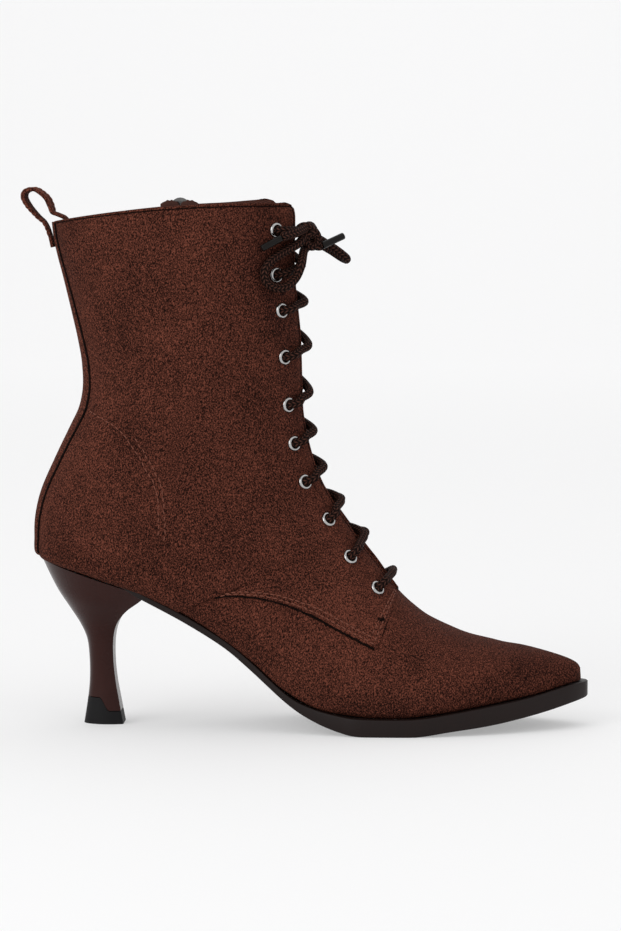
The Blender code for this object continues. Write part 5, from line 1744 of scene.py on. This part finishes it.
bpy.ops.object.shade_flat()
wear(teeth, zip_metal, "zip_metal", "zip_teeth")
print("teeth", len(places))

# %% Zip slider
SLIDER_SIZE = (8.4, 3.4, 9.6)
HEAD_UP = 0.6
FACE_BACK = 1.0
FOOT_WIDTH = 0.66
WIDE_FROM = 0.62
HEAD_FROM = 0.8
HEAD_IN = 0.10
SHOULDER_FROM = 0.7
SHOULDER_DROP = 2.2
GROOVE_HALF = 0.7
GROOVE_WIDTH = 0.86
turn = math.atan2(hinge["axis"][1], hinge["axis"][0])
HINGE = Vector(hinge["pos_m"])


def set_on_hinge(piece):
    """Turns a piece that was modelled about the hinge, and moves it there."""
    pick(piece)
    piece.rotation_euler = (0.0, 0.0, turn)
    piece.location = HINGE
    bpy.ops.object.transform_apply(location=True, rotation=True, scale=True)


slider = block(SLIDER_SIZE, (0.0, -(FACE_BACK + SLIDER_SIZE[1] / 2) * MM, HEAD_UP * MM))
edit()
bpy.ops.mesh.subdivide(number_cuts=5)
leave_edit()
for v in slider.data.vertices:
    up_share = (v.co.z / MM - HEAD_UP) / SLIDER_SIZE[2] + 0.5
    head = max(up_share - HEAD_FROM, 0.0) / (1 - HEAD_FROM)
    shoulder = max(up_share - SHOULDER_FROM, 0.0) / (1 - SHOULDER_FROM)
    v.co.x *= FOOT_WIDTH + (1 - FOOT_WIDTH) * min(up_share / WIDE_FROM, 1.0) - HEAD_IN * head
    v.co.z -= SHOULDER_DROP * MM * shoulder * (v.co.x / MM / (SLIDER_SIZE[0] / 2)) ** 2
    inner = abs(v.co.y / MM + FACE_BACK + SLIDER_SIZE[1] / 2) < GROOVE_HALF
    v.co.x *= GROOVE_WIDTH if inner else 1.0
soften(slider, 0.6, 3, 40)
BRIDGE_HALF = 1.4
BRIDGE_THICK = 0.38
BRIDGE = table(
    "y z", (-1.6, 3.0), (0.2, 3.0), (1.2, 2.5), (1.4, 0.6), (1.2, -1.3), (0.2, -1.8), (-1.6, -1.8)
)
line = smooth_line(BRIDGE, 30)
grid = []
for at, out in zip(line, square_to(line)):
    ring = []
    for angle in np.linspace(0, 2 * math.pi, 13):
        across = BRIDGE_HALF * math.copysign(abs(math.cos(angle)) ** 0.5, math.cos(angle))
        ring.append((across, *(at + out * BRIDGE_THICK * math.sin(angle))))
    grid.append(np.array(ring) + LAST_ORIGIN)
bridge = grid_piece("slider_bridge", capped(grid))
slider = join_pieces([slider, bridge], "zip_slider_block")
set_on_hinge(slider)
smooth_below(40)
wear(slider, zip_metal, "zip_metal", "zip_slider")
print("slider faces", len(slider.data.polygons))

# %% Pull tab
TAB_SIZE = (7.0, 1.2, 24.0)
TAB_BAR = 1.2
TAB_HOLE = (3.9, 6.0, 3.8)
RIM_WIDE = 0.8
RIM_SLOPE = 0.25
RIM_DEEP = 0.2
TAB_ROUND = 0.35
deselect()
bpy.ops.mesh.primitive_circle_add(vertices=48, radius=1.0, fill_type="NGON")
tab = bpy.context.object
for v in tab.data.vertices:
    across = math.copysign(abs(v.co.x) ** TAB_ROUND, v.co.x) * TAB_SIZE[0] / 2
    down = math.copysign(abs(v.co.y) ** TAB_ROUND, v.co.y) * TAB_SIZE[2] / 2 + (TAB_BAR - TAB_SIZE[2]) / 2
    v.co = (across * MM, 0.0, down * MM)
apply_modifier(tab, "SOLIDIFY", thickness=TAB_SIZE[1] * MM, offset=0.0)
edit()
bpy.ops.mesh.normals_make_consistent(inside=False)
bpy.ops.mesh.select_mode(type="FACE")
bpy.ops.mesh.select_all(action="DESELECT")
leave_edit()
for face in tab.data.polygons:
    face.select = abs(face.normal.y) > 0.9
bpy.ops.object.mode_set(mode="EDIT")
bpy.ops.mesh.inset(thickness=RIM_WIDE * MM, depth=0.0, use_individual=True)
bpy.ops.mesh.inset(thickness=RIM_SLOPE * MM, depth=-RIM_DEEP * MM, use_individual=True)
leave_edit()
hole = block(TAB_HOLE, (0.0, 0.0, -(TAB_BAR + TAB_HOLE[2]) / 2 * MM))
soften(hole, 0.8, 3)
cut(tab, hole)
bpy.data.objects.remove(hole, do_unlink=True)
soften(tab, 0.12, 2, 40)
set_on_hinge(tab)
smooth_below(40)
tab.name = "pull_tab_plate"
tab.data.materials.append(zip_metal)
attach(tab, "pull_tab")
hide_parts("zip_pull_tab")
print("tab faces", len(tab.data.polygons))
